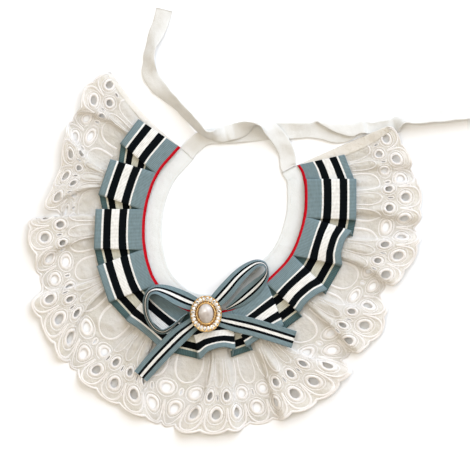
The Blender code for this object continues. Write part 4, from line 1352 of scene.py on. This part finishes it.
@dataclass
class RibbonFrill:
    """The wide ribbon in its box pleats."""

    thick: float = 0.55
    rows: int = 27
    step: float = 0.9
    sway: float = 0.35
    sway_size: float = 17.0

    def build(self) -> None:
        """Makes the ribbon."""
        form = FrillForm()
        at = []
        for a, b in zip(form.knots[:-1], form.knots[1:]):
            parts = max(3, math.ceil((b - a) / self.step))
            at.extend(np.linspace(a, b, parts, endpoint=False))
        at = np.array(at + [form.knots[-1]])
        inner, outer = (through(side, at, form.knots) for side in (form.inner, form.outer))
        puff = through(form.puff[:, None], at, form.knots)[:, 0]
        share = np.linspace(0, 1, self.rows)
        points = inner[:, None] + (outer - inner)[:, None] * share[None, :, None]
        points[..., 2] += puff[:, None] * np.sin(math.pi * share)[None, :]
        flat = np.array([(a, RIBBON_WIDTH * s, 0.0) for a in at for s in share])
        sway = soft_noise(flat, self.sway_size, 5.0).reshape(len(at), self.rows)
        points[..., 2] += self.sway * sway * share[None, :]
        mesh = mesh_of("frill_ribbon", points.reshape(-1, 3), grid_faces(len(at), self.rows), flat[:, :2])
        # Painted shade darkens the ribbon where it lies low in the tucks, but not at its own end, which
        # lies low without lying in a tuck
        before_end = (at < form.knots[-4])[:, None]
        painted_tuck_shade = np.clip((TUCK_SHADE_ENDS - points[..., 2]) / TUCK_SHADE_FADES, 0, 1) * before_end
        painted_shade_layer = mesh.attributes.new(PAINTED_TUCK_SHADE, "FLOAT", "POINT")
        painted_shade_layer.data.foreach_set("value", painted_tuck_shade.ravel().astype(np.float32))
        mesh = walled("frill_ribbon", mesh, self.thick)
        ribbon = new_piece("frill_ribbon", mesh, Finish.WIDE_RIBBON, stands_for=["ribbon_frill"],
                           slot="slate_ribbon")
        cut = along(outer)[-1]
        LOG.info("wide ribbon: %.0f mm long at its free edge", cut)


@dataclass(frozen=True)
class Eyelet:
    """A hole in the lace with satin stitching round it."""

    flat: float
    width: float
    radius: float
    tall: float
    ring: float
    sides: int

    def loop(self, out: float, sides: int) -> np.ndarray:
        """The hole's outline.

        Args:
            out: how far outwards it is moved.
            sides: how many sides it has.

        Returns:
            Its points on the flat strip.
        """
        turn = 2 * math.pi * (np.arange(sides) + 0.5) / sides
        return np.column_stack([
            self.flat + (self.radius + out) * np.cos(turn),
            self.width + (self.radius * self.tall + out) * np.sin(turn),
        ])


@dataclass
class LaceFlounce:
    """The gathered flounce of eyelet lace: its cloth, its stitching and its two folded ends.

    The eyelets and slits are (width from the seam, radius, how tall for its width, half width of
    the ring, sides), in the middle of each repeat and on the line between two.
    """

    form: LaceForm
    middle_eyelet: tuple[float, ...] = (74.5, 3.1, 1.0, 1.1, 22)
    middle_slit: tuple[float, ...] = (64.0, 0.62, 3.3, 0.5, 10)
    between_eyelet: tuple[float, ...] = (63.0, 2.65, 1.0, 1.0, 20)
    between_slit: tuple[float, ...] = (76.6, 0.6, 3.2, 0.5, 10)
    thick: float = 0.36
    along_step: float = 1.34
    across_step: float = 1.3
    edge_steps: int = 12
    end_gap: float = 3.0
    clear: float = 0.75
    thread_step: float = 0.95
    hem: float = 5.6
    seed: int = 11

    def eyelets(self) -> list[Eyelet]:
        """The round eyelets and narrow slits of every repeat, each eyelet a little uneven.

        Returns:
            The holes, in order along the strip.
        """
        random = np.random.default_rng(self.seed)
        found = []
        for n in range(self.form.repeats):
            kinds = [(n + 0.5, self.middle_eyelet, self.middle_slit)]
            if n:
                kinds.append((n, self.between_eyelet, self.between_slit))
            for place, (width, radius, _, ring, sides), slit in kinds:
                size, tall = random.uniform(0.94, 1.05), random.uniform(0.98, 1.1)
                found.append(Eyelet(place * REPEAT, width, radius * size, tall, ring, sides))
                found.append(Eyelet(place * REPEAT, *slit))
        return found

    def flat_mesh(self, eyelets: Sequence[Eyelet]) -> tuple[np.ndarray, list[tuple[int, ...]]]:
        """The flat strip with its eyelets cut out.

        Args:
            eyelets: the holes.

        Returns:
            Its points (length, width) and its triangles.
        """
        length = self.form.length
        flats = np.linspace(0, length, self.form.repeats * self.edge_steps + 1)
        inner = np.column_stack([flats, np.zeros(len(flats))])
        edge = np.column_stack([flats, self.form.edge_width(flats)])
        down = np.arange(self.across_step, LACE_WIDTH - self.end_gap, self.across_step)
        sides = [np.column_stack([np.full(len(down), x), down]) for x in (length, 0.0)]
        outline = np.concatenate([inner, sides[0], edge[::-1], sides[1][::-1]])
        loops, points = [np.arange(len(outline))], [outline]
        count = len(outline)
        for eyelet in eyelets:
            loop = eyelet.loop(0.0, eyelet.sides)
            loops.append(np.arange(count, count + len(loop)))
            points.append(loop)
            count += len(loop)
        places = np.arange(self.along_step / 2, length, self.along_step)
        widths = np.arange(self.across_step, LACE_WIDTH + 2.0, self.across_step)
        u, v = np.meshgrid(places, widths, indexing="ij")
        v = v + 0.5 * self.across_step * (np.arange(len(places)) % 2)[:, None]
        spots = np.column_stack([u.ravel(), v.ravel()])
        keep = spots[:, 1] < self.form.edge_width(spots[:, 0]) - self.clear
        for eyelet in eyelets:
            near = np.abs(spots[:, 0] - eyelet.flat) < 8
            away = (spots[near] - (eyelet.flat, eyelet.width)) / (1, eyelet.tall)
            keep[near] &= np.hypot(*away.T) > eyelet.radius + self.clear
        points.append(spots[keep])
        edges = [(int(a), int(b)) for loop in loops for a, b in zip(loop, np.roll(loop, -1))]
        flat = np.concatenate(points)
        made, _, triangles, *_ = delaunay_2d_cdt([Vector(p) for p in flat], edges, [], 1, 1e-6)
        made = np.array([tuple(p) for p in made])
        triangles = np.array([tuple(t) for t in triangles])
        middle = made[triangles].mean(axis=1)
        keep = np.ones(len(triangles), bool)
        for eyelet in eyelets:
            away = (middle - (eyelet.flat, eyelet.width)) / (1, eyelet.tall)
            keep &= np.hypot(*away.T) > eyelet.radius * 0.96
        return made, [tuple(t) for t in triangles[keep]]

    def lines(self, eyelets: Sequence[Eyelet]) -> Iterable[tuple[np.ndarray, bool, float, float]]:
        """Every embroidered line.

        Args:
            eyelets: the holes, each of which has a ring.

        Yields:
            The line's flat path, whether it closes, its half width and its height.
        """
        for eyelet in eyelets:
            slit = eyelet.tall > 2
            sides = 16 if slit else 30
            yield eyelet.loop(eyelet.ring * 0.75, sides), True, eyelet.ring, 0.3 if slit else 0.6
            if not slit:
                yield eyelet.loop(3.0, sides), True, 0.38, 0.28
        petal = np.array([(-6.0, 37.0), (-6.2, 45.0), (-5.5, 51.5), (-3.3, 56.0), (0.0, 57.6)])
        cup = np.array([
            (-8.0, 70.6), (-7.5, 74.0), (-7.1, 77.6), (-5.9, 81.4), (-3.3, 83.9), (0.0, 84.7),
        ])
        for n in range(self.form.repeats):
            middle = (n + 0.5) * REPEAT
            for half, wide, high in ((petal, 0.62, 0.45), (cup, 0.75, 0.5)):
                whole = np.concatenate([half, half[-2::-1] * (-1, 1)]) + (middle, 0)
                length = along(whole)
                at = np.linspace(0, length[-1], math.ceil(length[-1] / self.thread_step))
                yield through(whole, at, length), False, wide, high
        flats = np.linspace(0.2, self.form.length - 0.2, self.form.repeats * 18)
        yield np.column_stack([flats, self.form.edge_width(flats) - 0.55]), False, 0.75, 0.5

    def embroidery(self, eyelets: Sequence[Eyelet]) -> bpy.types.Mesh:
        """The raised satin stitching of the whole lace.

        Args:
            eyelets: the holes, each of which has a ring.

        Returns:
            All its lines as one mesh.
        """
        work = ThreadWork()
        profile = np.array([(-1.0, -0.1), (-0.62, 0.72), (0.0, 1.0), (0.62, 0.72), (1.0, -0.1)])
        paths = list(self.lines(eyelets))
        flats = []
        for path, closed, half, _ in paths:
            around = np.roll(path, -1, axis=0) - np.roll(path, 1, axis=0)
            ahead = unit(around if closed else np.gradient(path, axis=0))
            side = np.column_stack([-ahead[:, 1], ahead[:, 0]])
            flats.append(path[:, None] + side[:, None] * (profile[:, 0] * half)[None, :, None])
        every, centres = np.concatenate(flats), np.concatenate([path for path, *_ in paths])
        length = self.form.length
        places = self.form.surface(np.clip(every[..., 0], 0, length).ravel(), every[..., 1].ravel())
        normals = self.form.normal(np.clip(centres[:, 0], 0.4, length - 0.4), centres[:, 1])
        places, normals = places.reshape(*every.shape[:2], 3), normals[:, None]
        at = 0
        for path, closed, half, high in paths:
            mine = slice(at, at + len(path))
            raised = self.thick / 2 + high * profile[:, 1]
            rings = places[mine] + normals[mine] * raised[None, :, None]
            work.add(rings, along(path), profile[:, 0] * half + half, closed)
            at += len(path)
        return work.mesh("lace_stitching")

    def end_hem(self, name: str, start: float, ahead: float) -> bpy.types.Object:
        """The folded hem down one cut end of the lace.

        Args:
            name: the piece's name.
            start: the flat length where the lace ends.
            ahead: 1 where the lace goes on towards greater lengths, -1 otherwise.

        Returns:
            The hem as a piece.
        """
        widths = np.linspace(1.0, LACE_WIDTH - self.end_gap, 64)
        profile = np.array([
            (0.0, 0.0), (0.05, 0.35), (0.7, 0.62), (2.4, 0.66), (4.4, 0.64), (5.3, 0.52), (self.hem, 0.1),
        ])
        flats = start + ahead * profile[:, 0]
        u, v = np.meshgrid(flats, widths, indexing="ij")
        points = self.form.surface(u.ravel(), v.ravel())
        inside = np.clip(u.ravel(), 0.4, self.form.length - 0.4)
        lift = np.repeat(profile[:, 1], len(widths)) + self.thick / 2
        points += self.form.normal(inside, v.ravel()) * lift[:, None]
        faces = grid_faces(len(flats), len(widths))
        if ahead < 0:
            faces = faces[:, ::-1]
        mesh = mesh_of(name, points, faces, np.column_stack([v.ravel(), u.ravel()]))
        return new_piece(name, mesh, Finish.LACE_GROUND, slot="eyelet_lace")

    def build(self) -> None:
        """Makes the lace, its stitching and its hems."""
        eyelets = self.eyelets()
        flat, faces = self.flat_mesh(eyelets)
        points = self.form.surface(flat[:, 0], flat[:, 1])
        mesh = walled("lace_cloth", mesh_of("lace_cloth", points, faces, flat), self.thick)
        cloth = new_piece("lace_cloth", mesh, Finish.LACE_GROUND, stands_for=["lace_flounce"],
                          slot="eyelet_lace")
        stitching = new_piece("lace_stitching", self.embroidery(eyelets), Finish.LACE_THREAD,
                              slot="eyelet_lace")
        hems = [
            self.end_hem("lace_hem_left", 0.0, 1.0),
            self.end_hem("lace_hem_right", self.form.length, -1.0),
        ]


def rolled_over(across: np.ndarray, half: float, over: float) -> tuple[np.ndarray, np.ndarray]:
    """A strip's section once some of its width has rolled over its far edge.

    Args:
        across: places over the strip's width, from -half to half.
        half: half of the width.
        over: how much of the width has passed the edge.

    Returns:
        How far in and how far up each place lies.
    """
    past = across - (half - over)
    turn = np.clip(past / TIE_FOLD_RADIUS, 0, math.pi)
    flat = half + np.minimum(past, 0) - np.maximum(past - math.pi * TIE_FOLD_RADIUS, 0)
    return flat + TIE_FOLD_RADIUS * np.sin(turn), TIE_FOLD_RADIUS * (1 - np.cos(turn))


@dataclass
class Strip:
    """A tape or ribbon that follows a row of places and turns over on its way.

    It is as wide as edge_from, where given, however far it has rolled over, or else as wide as its
    middle row. sewn_in is how far its first end goes into the seam.
    """

    name: str
    rows: Sequence[StripRow]
    solid: str
    slot: str
    finish: Finish
    thick: float
    solid_thick: float
    places: int = 13
    samples: int = 8
    cup: float = 0.0
    wrinkle: float = 0.0
    seed: float = 1.0
    edge_from: float = 0.0
    sewn_in: float = 0.0
    held: str = "laid"
    rests_on: Sequence[str] = ("floor",)

    def build(self) -> bpy.types.Object:
        """Makes the strip.

        Returns:
            The strip as a piece.
        """
        table = np.array([(r.x, r.y, r.roll, r.on, r.over, r.width) for r in self.rows], float)
        knots = along(table[:, :2])
        count = (len(self.rows) - 1) * self.samples + 1
        at = np.interp(np.linspace(0, len(self.rows) - 1, count), range(len(self.rows)), knots)
        x, y, roll, on, over, wide = through(table, at, knots).T
        roll = np.radians(roll)
        ahead = unit(np.column_stack([np.gradient(x, at), np.gradient(y, at)]))
        side = np.column_stack([-ahead[:, 1], ahead[:, 0]])
        x[0], y[0] = np.array([x[0], y[0]]) - ahead[0] * self.sewn_in
        share = np.linspace(-0.5, 0.5, self.places)
        flat = np.array([(a, s * 10, self.seed * 40) for a in at for s in share])
        ripple = self.wrinkle * soft_noise(flat, 7.0, self.seed).reshape(count, self.places)
        rings, centres = [], []
        for n in range(count):
            inward, up = rolled_over(share * wide[n], wide[n] / 2, max(over[n], 0))
            inward = inward + (self.edge_from - wide[n]) / 2 if self.edge_from else inward
            height = inward * math.sin(roll[n]) + up * math.cos(roll[n])
            base = on[n] - height.min() + self.solid_thick / 2 * abs(math.cos(roll[n]))
            line = np.column_stack([inward, up + self.cup * (4 * share**2 - 0.5) + ripple[n]])
            loop = wrapped(line, self.thick / 2)
            level = loop[:, 0] * math.cos(roll[n]) - loop[:, 1] * math.sin(roll[n])
            rise = loop[:, 0] * math.sin(roll[n]) + loop[:, 1] * math.cos(roll[n])
            plan = np.array([x[n], y[n]]) + side[n] * level[:, None]
            rings.append(np.column_stack([plan, np.maximum(rise + base, 0.02)]))
            centres.append((x[n], y[n], base))
        width = self.edge_from or self.rows[len(self.rows) // 2].width
        across = (share + 0.5) * width
        round_across = np.concatenate([across, [width] * 3, across[::-1], [0.0] * 3])
        length = along(np.array(centres))
        mesh = lofted(self.name, np.array(rings), length, round_across)
        piece = new_piece(self.name, mesh, self.finish, stands_for=[self.solid], slot=self.slot)
        list(self.rests_on)
        return piece


@dataclass
class Ties:
    """The two ties that carry on from the neckband's ends."""

    thick: float = 1.2

    def build(self) -> None:
        """Makes both ties."""
        for side, rows, seed in (("left", LEFT_TIE, 2.0), ("right", RIGHT_TIE, 7.0)):
            Strip(
                name=f"tie_tape_{side}", rows=rows, solid=f"tie_{side}", slot="white_cotton",
                finish=Finish.TAPE, thick=self.thick, solid_thick=TIE_THICK, cup=0.45, wrinkle=0.75,
                seed=seed, edge_from=TIE_WIDTH, sewn_in=0.8,
            ).build()


@dataclass
class Bow:
    """The bow of narrow ribbon: two loops and two tails."""

    thick: float = 0.55

    def build(self) -> None:
        """Makes the four lengths of ribbon."""
        lengths = (
            ("bow_loop_left", LEFT_LOOP, "folded", 0.15), ("bow_loop_right", RIGHT_LOOP, "folded", 0.15),
            ("bow_tail_left", LEFT_TAIL, "laid", 0.2), ("bow_tail_right", RIGHT_TAIL, "laid", 0.2),
        )
        for seed, (solid, rows, held, cup) in enumerate(lengths):
            Strip(
                name=solid + "_ribbon", rows=rows, solid=solid, slot="bow_ribbon",
                finish=Finish.BOW_RIBBON, thick=self.thick, solid_thick=BOW_THICK, cup=cup,
                wrinkle=0.12, seed=20.0 + seed, held=held, rests_on=["frill_ribbon"],
            ).build()


@dataclass(frozen=True)
class BeadRing:
    """A ring of round beads: its size as a share of the brooch's, and its beads."""

    share: float
    count: int
    radius: float
    height: float


@dataclass
class Brooch:
    """The oval brooch: a gold-coloured setting, a ring of cut stones and a pearl in a roped rim."""

    bead_rings: tuple[BeadRing, ...] = (
        BeadRing(0.94, 24, 0.3, 2.75), BeadRing(0.70, 24, 0.26, 2.75), BeadRing(0.975, 66, 0.3, 2.05),
    )
    rope_at: float = 0.575
    rope_radius: float = 0.45
    rope_height: float = 3.25
    twists: int = 44
    stones: int = 24
    stone_at: float = 0.815
    stone_radius: float = 1.2
    stone_long: float = 1.32
    stone_height: float = 2.55
    lean: float = 0.2
    pearl_lift: float = 2.8
    around: int = 96
    seed: int = 5

    def placed(self, points: Points) -> Points:
        """Points about the brooch's middle, leaned, turned and moved to where it sits.

        Args:
            points: the points, from the middle of the brooch's base.

        Returns:
            The points in working millimetres.
        """
        angle = math.radians(BROOCH_TURN)
        x, y = points[:, 0], points[:, 1] + self.lean * points[:, 2]
        return np.column_stack([
            BROOCH_AT[0] + x * math.cos(angle) - y * math.sin(angle),
            BROOCH_AT[1] + x * math.sin(angle) + y * math.cos(angle),
            BROOCH_BASE + points[:, 2],
        ])

    def oval(self, share: float, count: int, start: float = 0.0) -> tuple[np.ndarray, np.ndarray]:
        """Evenly spaced places round an oval of the brooch's shape.

        Args:
            share: its size as a share of the brooch's.
            count: how many places.
            start: how many places to start on by.

        Returns:
            The places, and the direction out from each.
        """
        half = np.array(BROOCH_HALF) * share
        turn = np.linspace(0, 2 * math.pi, 721)
        length = along(half * np.column_stack([np.cos(turn), np.sin(turn)]))
        at = (np.arange(count) + start) / count * length[-1]
        turns = np.interp(at % length[-1], length, turn)
        places = half * np.column_stack([np.cos(turns), np.sin(turns)])
        return places, unit(places / np.array(BROOCH_HALF) ** 2)

    def turned(self, name: str, profile: Sequence[tuple[float, float]], half: tuple[float, float],
               lift: float = 0.0) -> bpy.types.Mesh:
        """A piece turned from its profile and pressed oval.

        Args:
            name: the mesh's name.
            profile: (share of the half width, height) from the middle of the top to that of the base.
            half: the oval's half width and half length.
            lift: how far it stands over the brooch's base.

        Returns:
            The mesh.
        """
        turn = np.linspace(0, 2 * math.pi, self.around, endpoint=False)
        oval = np.column_stack([half[0] * np.cos(turn), half[1] * np.sin(turn)])
        rings = [
            np.column_stack([share * oval, np.full(self.around, height + lift)])
            for share, height in profile
        ]
        points = self.placed(np.concatenate(rings))
        faces = [tuple(f[::-1]) for f in grid_faces(len(rings), self.around, ring=True)]
        faces += [tuple(range(self.around)), tuple(range(len(points) - self.around, len(points)))[::-1]]
        rows = np.repeat(np.arange(len(rings)), self.around)
        uv = np.column_stack([np.tile(turn * half[1], len(rings)), rows])
        return mesh_of(name, points, faces, uv)

    def beads(self, work: ThreadWork, ring: BeadRing) -> None:
        """Adds a ring of small round beads.

        Args:
            work: the mesh that they are added to.
            ring: the ring.
        """
        down, turn = np.meshgrid(
            np.linspace(0.08, math.pi - 0.08, 7), np.linspace(0, 2 * math.pi, 10, endpoint=False))
        ball = np.stack([np.sin(down) * np.cos(turn), np.sin(down) * np.sin(turn), np.cos(down)], axis=-1)
        for place in self.oval(ring.share, ring.count)[0]:
            bead = self.placed((ball * ring.radius + (*place, ring.height)).reshape(-1, 3))
            work.add(bead.reshape(ball.shape), turn[:, 0] * ring.radius, down[0] * ring.radius, True)

    def rope(self, work: ThreadWork) -> None:
        """Adds the rope-like rim round the pearl.

        Args:
            work: the mesh that it is added to.
        """
        steps = 8
        count = self.twists * steps
        turn = np.linspace(0, 2 * math.pi, 13)
        rings = []
        for n, (place, out) in enumerate(zip(*self.oval(self.rope_at, count))):
            size = self.rope_radius * (1 + 0.2 * np.cos(turn * 2 - 2 * math.pi * n / steps))
            plan = place + out * (np.cos(turn) * size)[:, None]
            rings.append(np.column_stack([plan, self.rope_height + np.sin(turn) * size]))
        placed = self.placed(np.concatenate(rings)).reshape(count, len(turn), 3)
        work.add(placed, np.arange(count) * 0.3, turn * self.rope_radius, True)

    def stone_ring(self) -> bpy.types.Mesh:
        """The ring of cut stones, each face with its own painted glint shade.

        Returns:
            The stones as one mesh.
        """
        random = np.random.default_rng(self.seed)
        places, outs = self.oval(self.stone_at, self.stones, 0.5)
        levels = ((16, 1.0, 0.0), (16, 1.0, 0.14), (8, 0.80, 0.46), (8, 0.52, 0.62))
        points, faces = [], []
        for place, out in zip(places, outs):
            spin = random.uniform(0, 1)
            firsts = []
            for sides, share, height in levels:
                firsts.append(len(points))
                for k in range(sides):
                    turn = 2 * math.pi * (k + spin + (0.5 if sides == 8 and share > 0.7 else 0)) / sides
                    outward = self.stone_radius * self.stone_long * share * math.cos(turn)
                    aside = self.stone_radius * share * math.sin(turn)
                    x, y = place + out * outward + np.array([-out[1], out[0]]) * aside
                    points.append((x, y, self.stone_height + self.stone_radius * height))
            base = len(points)
            points.append((place[0], place[1], 1.9))
            girdle, rim, crown, table = firsts
            for k in range(16):
                on = (k + 1) % 16
                faces += [(girdle + k, girdle + on, rim + on, rim + k), (base, girdle + on, girdle + k)]
            for k in range(8):
                near, on = crown + k, (k + 1) % 8
                a, b, c = rim + 2 * k, rim + 2 * k + 1, rim + (2 * k + 2) % 16
                faces += [(a, b, near), (b, c, near), (c, crown + on, near)]
                faces.append((near, crown + on, table + on, table + k))
            faces.append(tuple(range(table, table + 8)))
        placed = self.placed(np.array(points))
        mesh = mesh_of("brooch_stones", placed, faces, placed[:, :2])
        # Painted glints: a random number on each face picks its shade, from smoky to bright white
        painted_glints = mesh.attributes.new(PAINTED_FACET_GLINT, "FLOAT", "FACE")
        painted_glints.data.foreach_set("value", random.uniform(0, 1, len(mesh.polygons)).astype(np.float32))
        return mesh

    def build(self) -> None:
        """Makes the setting, its beads and rims, the stones and the pearl."""
        # Each profile goes down and out from the middle of the top
        profile = (
            (0.02, 2.2), (0.5, 2.2), (0.53, 2.5), (0.55, 3.1), (0.61, 3.1), (0.635, 2.5), (0.65, 2.1),
            (0.95, 2.1), (0.962, 2.25), (0.975, 2.2), (0.99, 1.8), (1.0, 1.2), (0.985, 0.5),
            (0.95, 0.12), (0.9, 0.0), (0.02, 0.0),
        )
        setting = self.turned("brooch_setting_gold", profile, BROOCH_HALF)
        new_piece("brooch_setting_gold", setting, Finish.GOLD, stands_for=["brooch_setting"],
                  slot="gold_setting")
        work = ThreadWork()
        for ring in self.bead_rings:
            self.beads(work, ring)
        self.rope(work)
        new_piece("brooch_trim", work.mesh("brooch_trim"), Finish.GOLD, slot="gold_setting")
        new_piece("brooch_stones", self.stone_ring(), Finish.STONE, smooth=False)
        falls = np.linspace(0, math.pi / 2, 22)
        dome = [(max(math.sin(fall), 0.02), PEARL_HIGH * math.cos(fall)) for fall in falls]
        dome += [(0.985, -0.18), (0.93, -0.3), (0.02, -0.3)]
        mesh = self.turned("brooch_pearl_dome", dome, PEARL_HALF, lift=self.pearl_lift)
        new_piece("brooch_pearl_dome", mesh, Finish.PEARL, stands_for=["brooch_pearl"], slot="pearl")


# The place that it is photographed in

@dataclass(frozen=True)
class Lamp:
    """A soft lamp: its place in metres, power in watts, width, height and colour."""

    name: str
    place: tuple[float, float, float]
    power: float
    wide: float
    tall: float
    colour: tuple[float, float, float]

    def hang(self) -> None:
        """Hangs the lamp so that it faces the bandana."""
        data = bpy.data.lights.new(self.name, "AREA")
        data.shape, data.size, data.size_y = "RECTANGLE", self.wide, self.tall
        data.energy, data.color = self.power, self.colour
        lamp = bpy.data.objects.new(self.name, data)
        lamp.location = self.place
        lamp.rotation_mode = "QUATERNION"
        lamp.rotation_quaternion = (-Vector(self.place)).to_track_quat("-Z", "Y")
        bpy.context.scene.collection.objects.link(lamp)


@dataclass
class Studio:
    """The pale floor, the soft light and the camera over the middle of the picture, in metres."""

    lamps: tuple[Lamp, ...] = (
        Lamp("key", (1.05, 1.60, 1.45), 54.0, 2.4, 2.4, (0.86, 1.0, 1.21)),
        Lamp("strip", (-0.30, 0.16, 1.46), 4.4, 0.10, 0.5, (1.0, 0.98, 0.96)),
    )
    sky: float = 0.70
    sky_low: tuple[float, ...] = (0.42, 0.35, 0.27, 1)
    sky_high: tuple[float, ...] = (1.27, 1.10, 0.85, 1)
    floor_half: float = 6.0
    frame_wide: float = 0.3337
    middle: tuple[float, float] = (-0.01507, -0.01003)
    height: float = 2.0
    sensor: float = 36.0

    def floor(self) -> None:
        """Lays the floor, just under the cloth."""
        half = self.floor_half
        corners = [(-half, -half, 0), (half, -half, 0), (half, half, 0), (-half, half, 0)]
        mesh = bpy.data.meshes.new("floor")
        mesh.from_pydata(corners, [], [(0, 1, 2, 3)])
        mesh.uv_layers.new(name="cloth")
        mesh.materials.append(Finish.FLOOR.made())
        floor = bpy.data.objects.new("floor", mesh)
        bpy.context.scene.collection.objects.link(floor)
        floor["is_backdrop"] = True

    def sky_light(self) -> None:
        """Surrounds the scene with soft light, a little brighter overhead."""
        world = bpy.data.worlds.new("studio")
        bpy.context.scene.world = world
        world.use_nodes = True
        tree = world.node_tree
        background = tree.nodes["Background"]
        place = tree.nodes.new("ShaderNodeTexCoord")
        split = tree.nodes.new("ShaderNodeSeparateXYZ")
        ramp = tree.nodes.new("ShaderNodeValToRGB")
        tree.links.new(place.outputs["Generated"], split.inputs[0])
        tree.links.new(split.outputs[2], ramp.inputs[0])
        ramp.color_ramp.elements[0].color = self.sky_low
        ramp.color_ramp.elements[1].color = self.sky_high
        tree.links.new(ramp.outputs[0], background.inputs[0])
        background.inputs[1].default_value = self.sky

    def camera(self) -> None:
        """Sets the camera straight over the middle of the picture."""
        data = bpy.data.cameras.new("camera")
        data.sensor_width = self.sensor
        data.lens = self.sensor * self.height / self.frame_wide
        data.clip_start, data.clip_end = 0.1, 50.0
        camera = bpy.data.objects.new("camera", data)
        camera.location = (*self.middle, self.height)
        bpy.context.scene.collection.objects.link(camera)
        bpy.context.scene.camera = camera

    def build(self) -> None:
        """Makes the floor, the light and the camera."""
        bpy.context.scene.view_settings.view_transform = "Standard"
        self.floor()
        self.sky_light()
        for lamp in self.lamps:
            lamp.hang()
        self.camera()


def write_sizes() -> None:
    """Logs the solids' box and the dressed model's box."""
    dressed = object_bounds()
    boxes = {"cad": [list(corner) for corner in CAD_BOX], "dressed": [list(corner) for corner in dressed]}
    LOG.info("solids %s, dressed %s", boxes["cad"], boxes["dressed"])


def main() -> None:
    """Builds the studio and each sub-assembly in order."""
    logging.basicConfig(level=logging.INFO, format="%(name)s: %(message)s")
    Studio().build()
    Neckband().build()
    Ties().build()
    LaceFlounce(LaceForm()).build()
    RibbonFrill().build()
    Bow().build()
    Brooch().build()
    write_sizes()


if __name__ == "__main__":
    main()
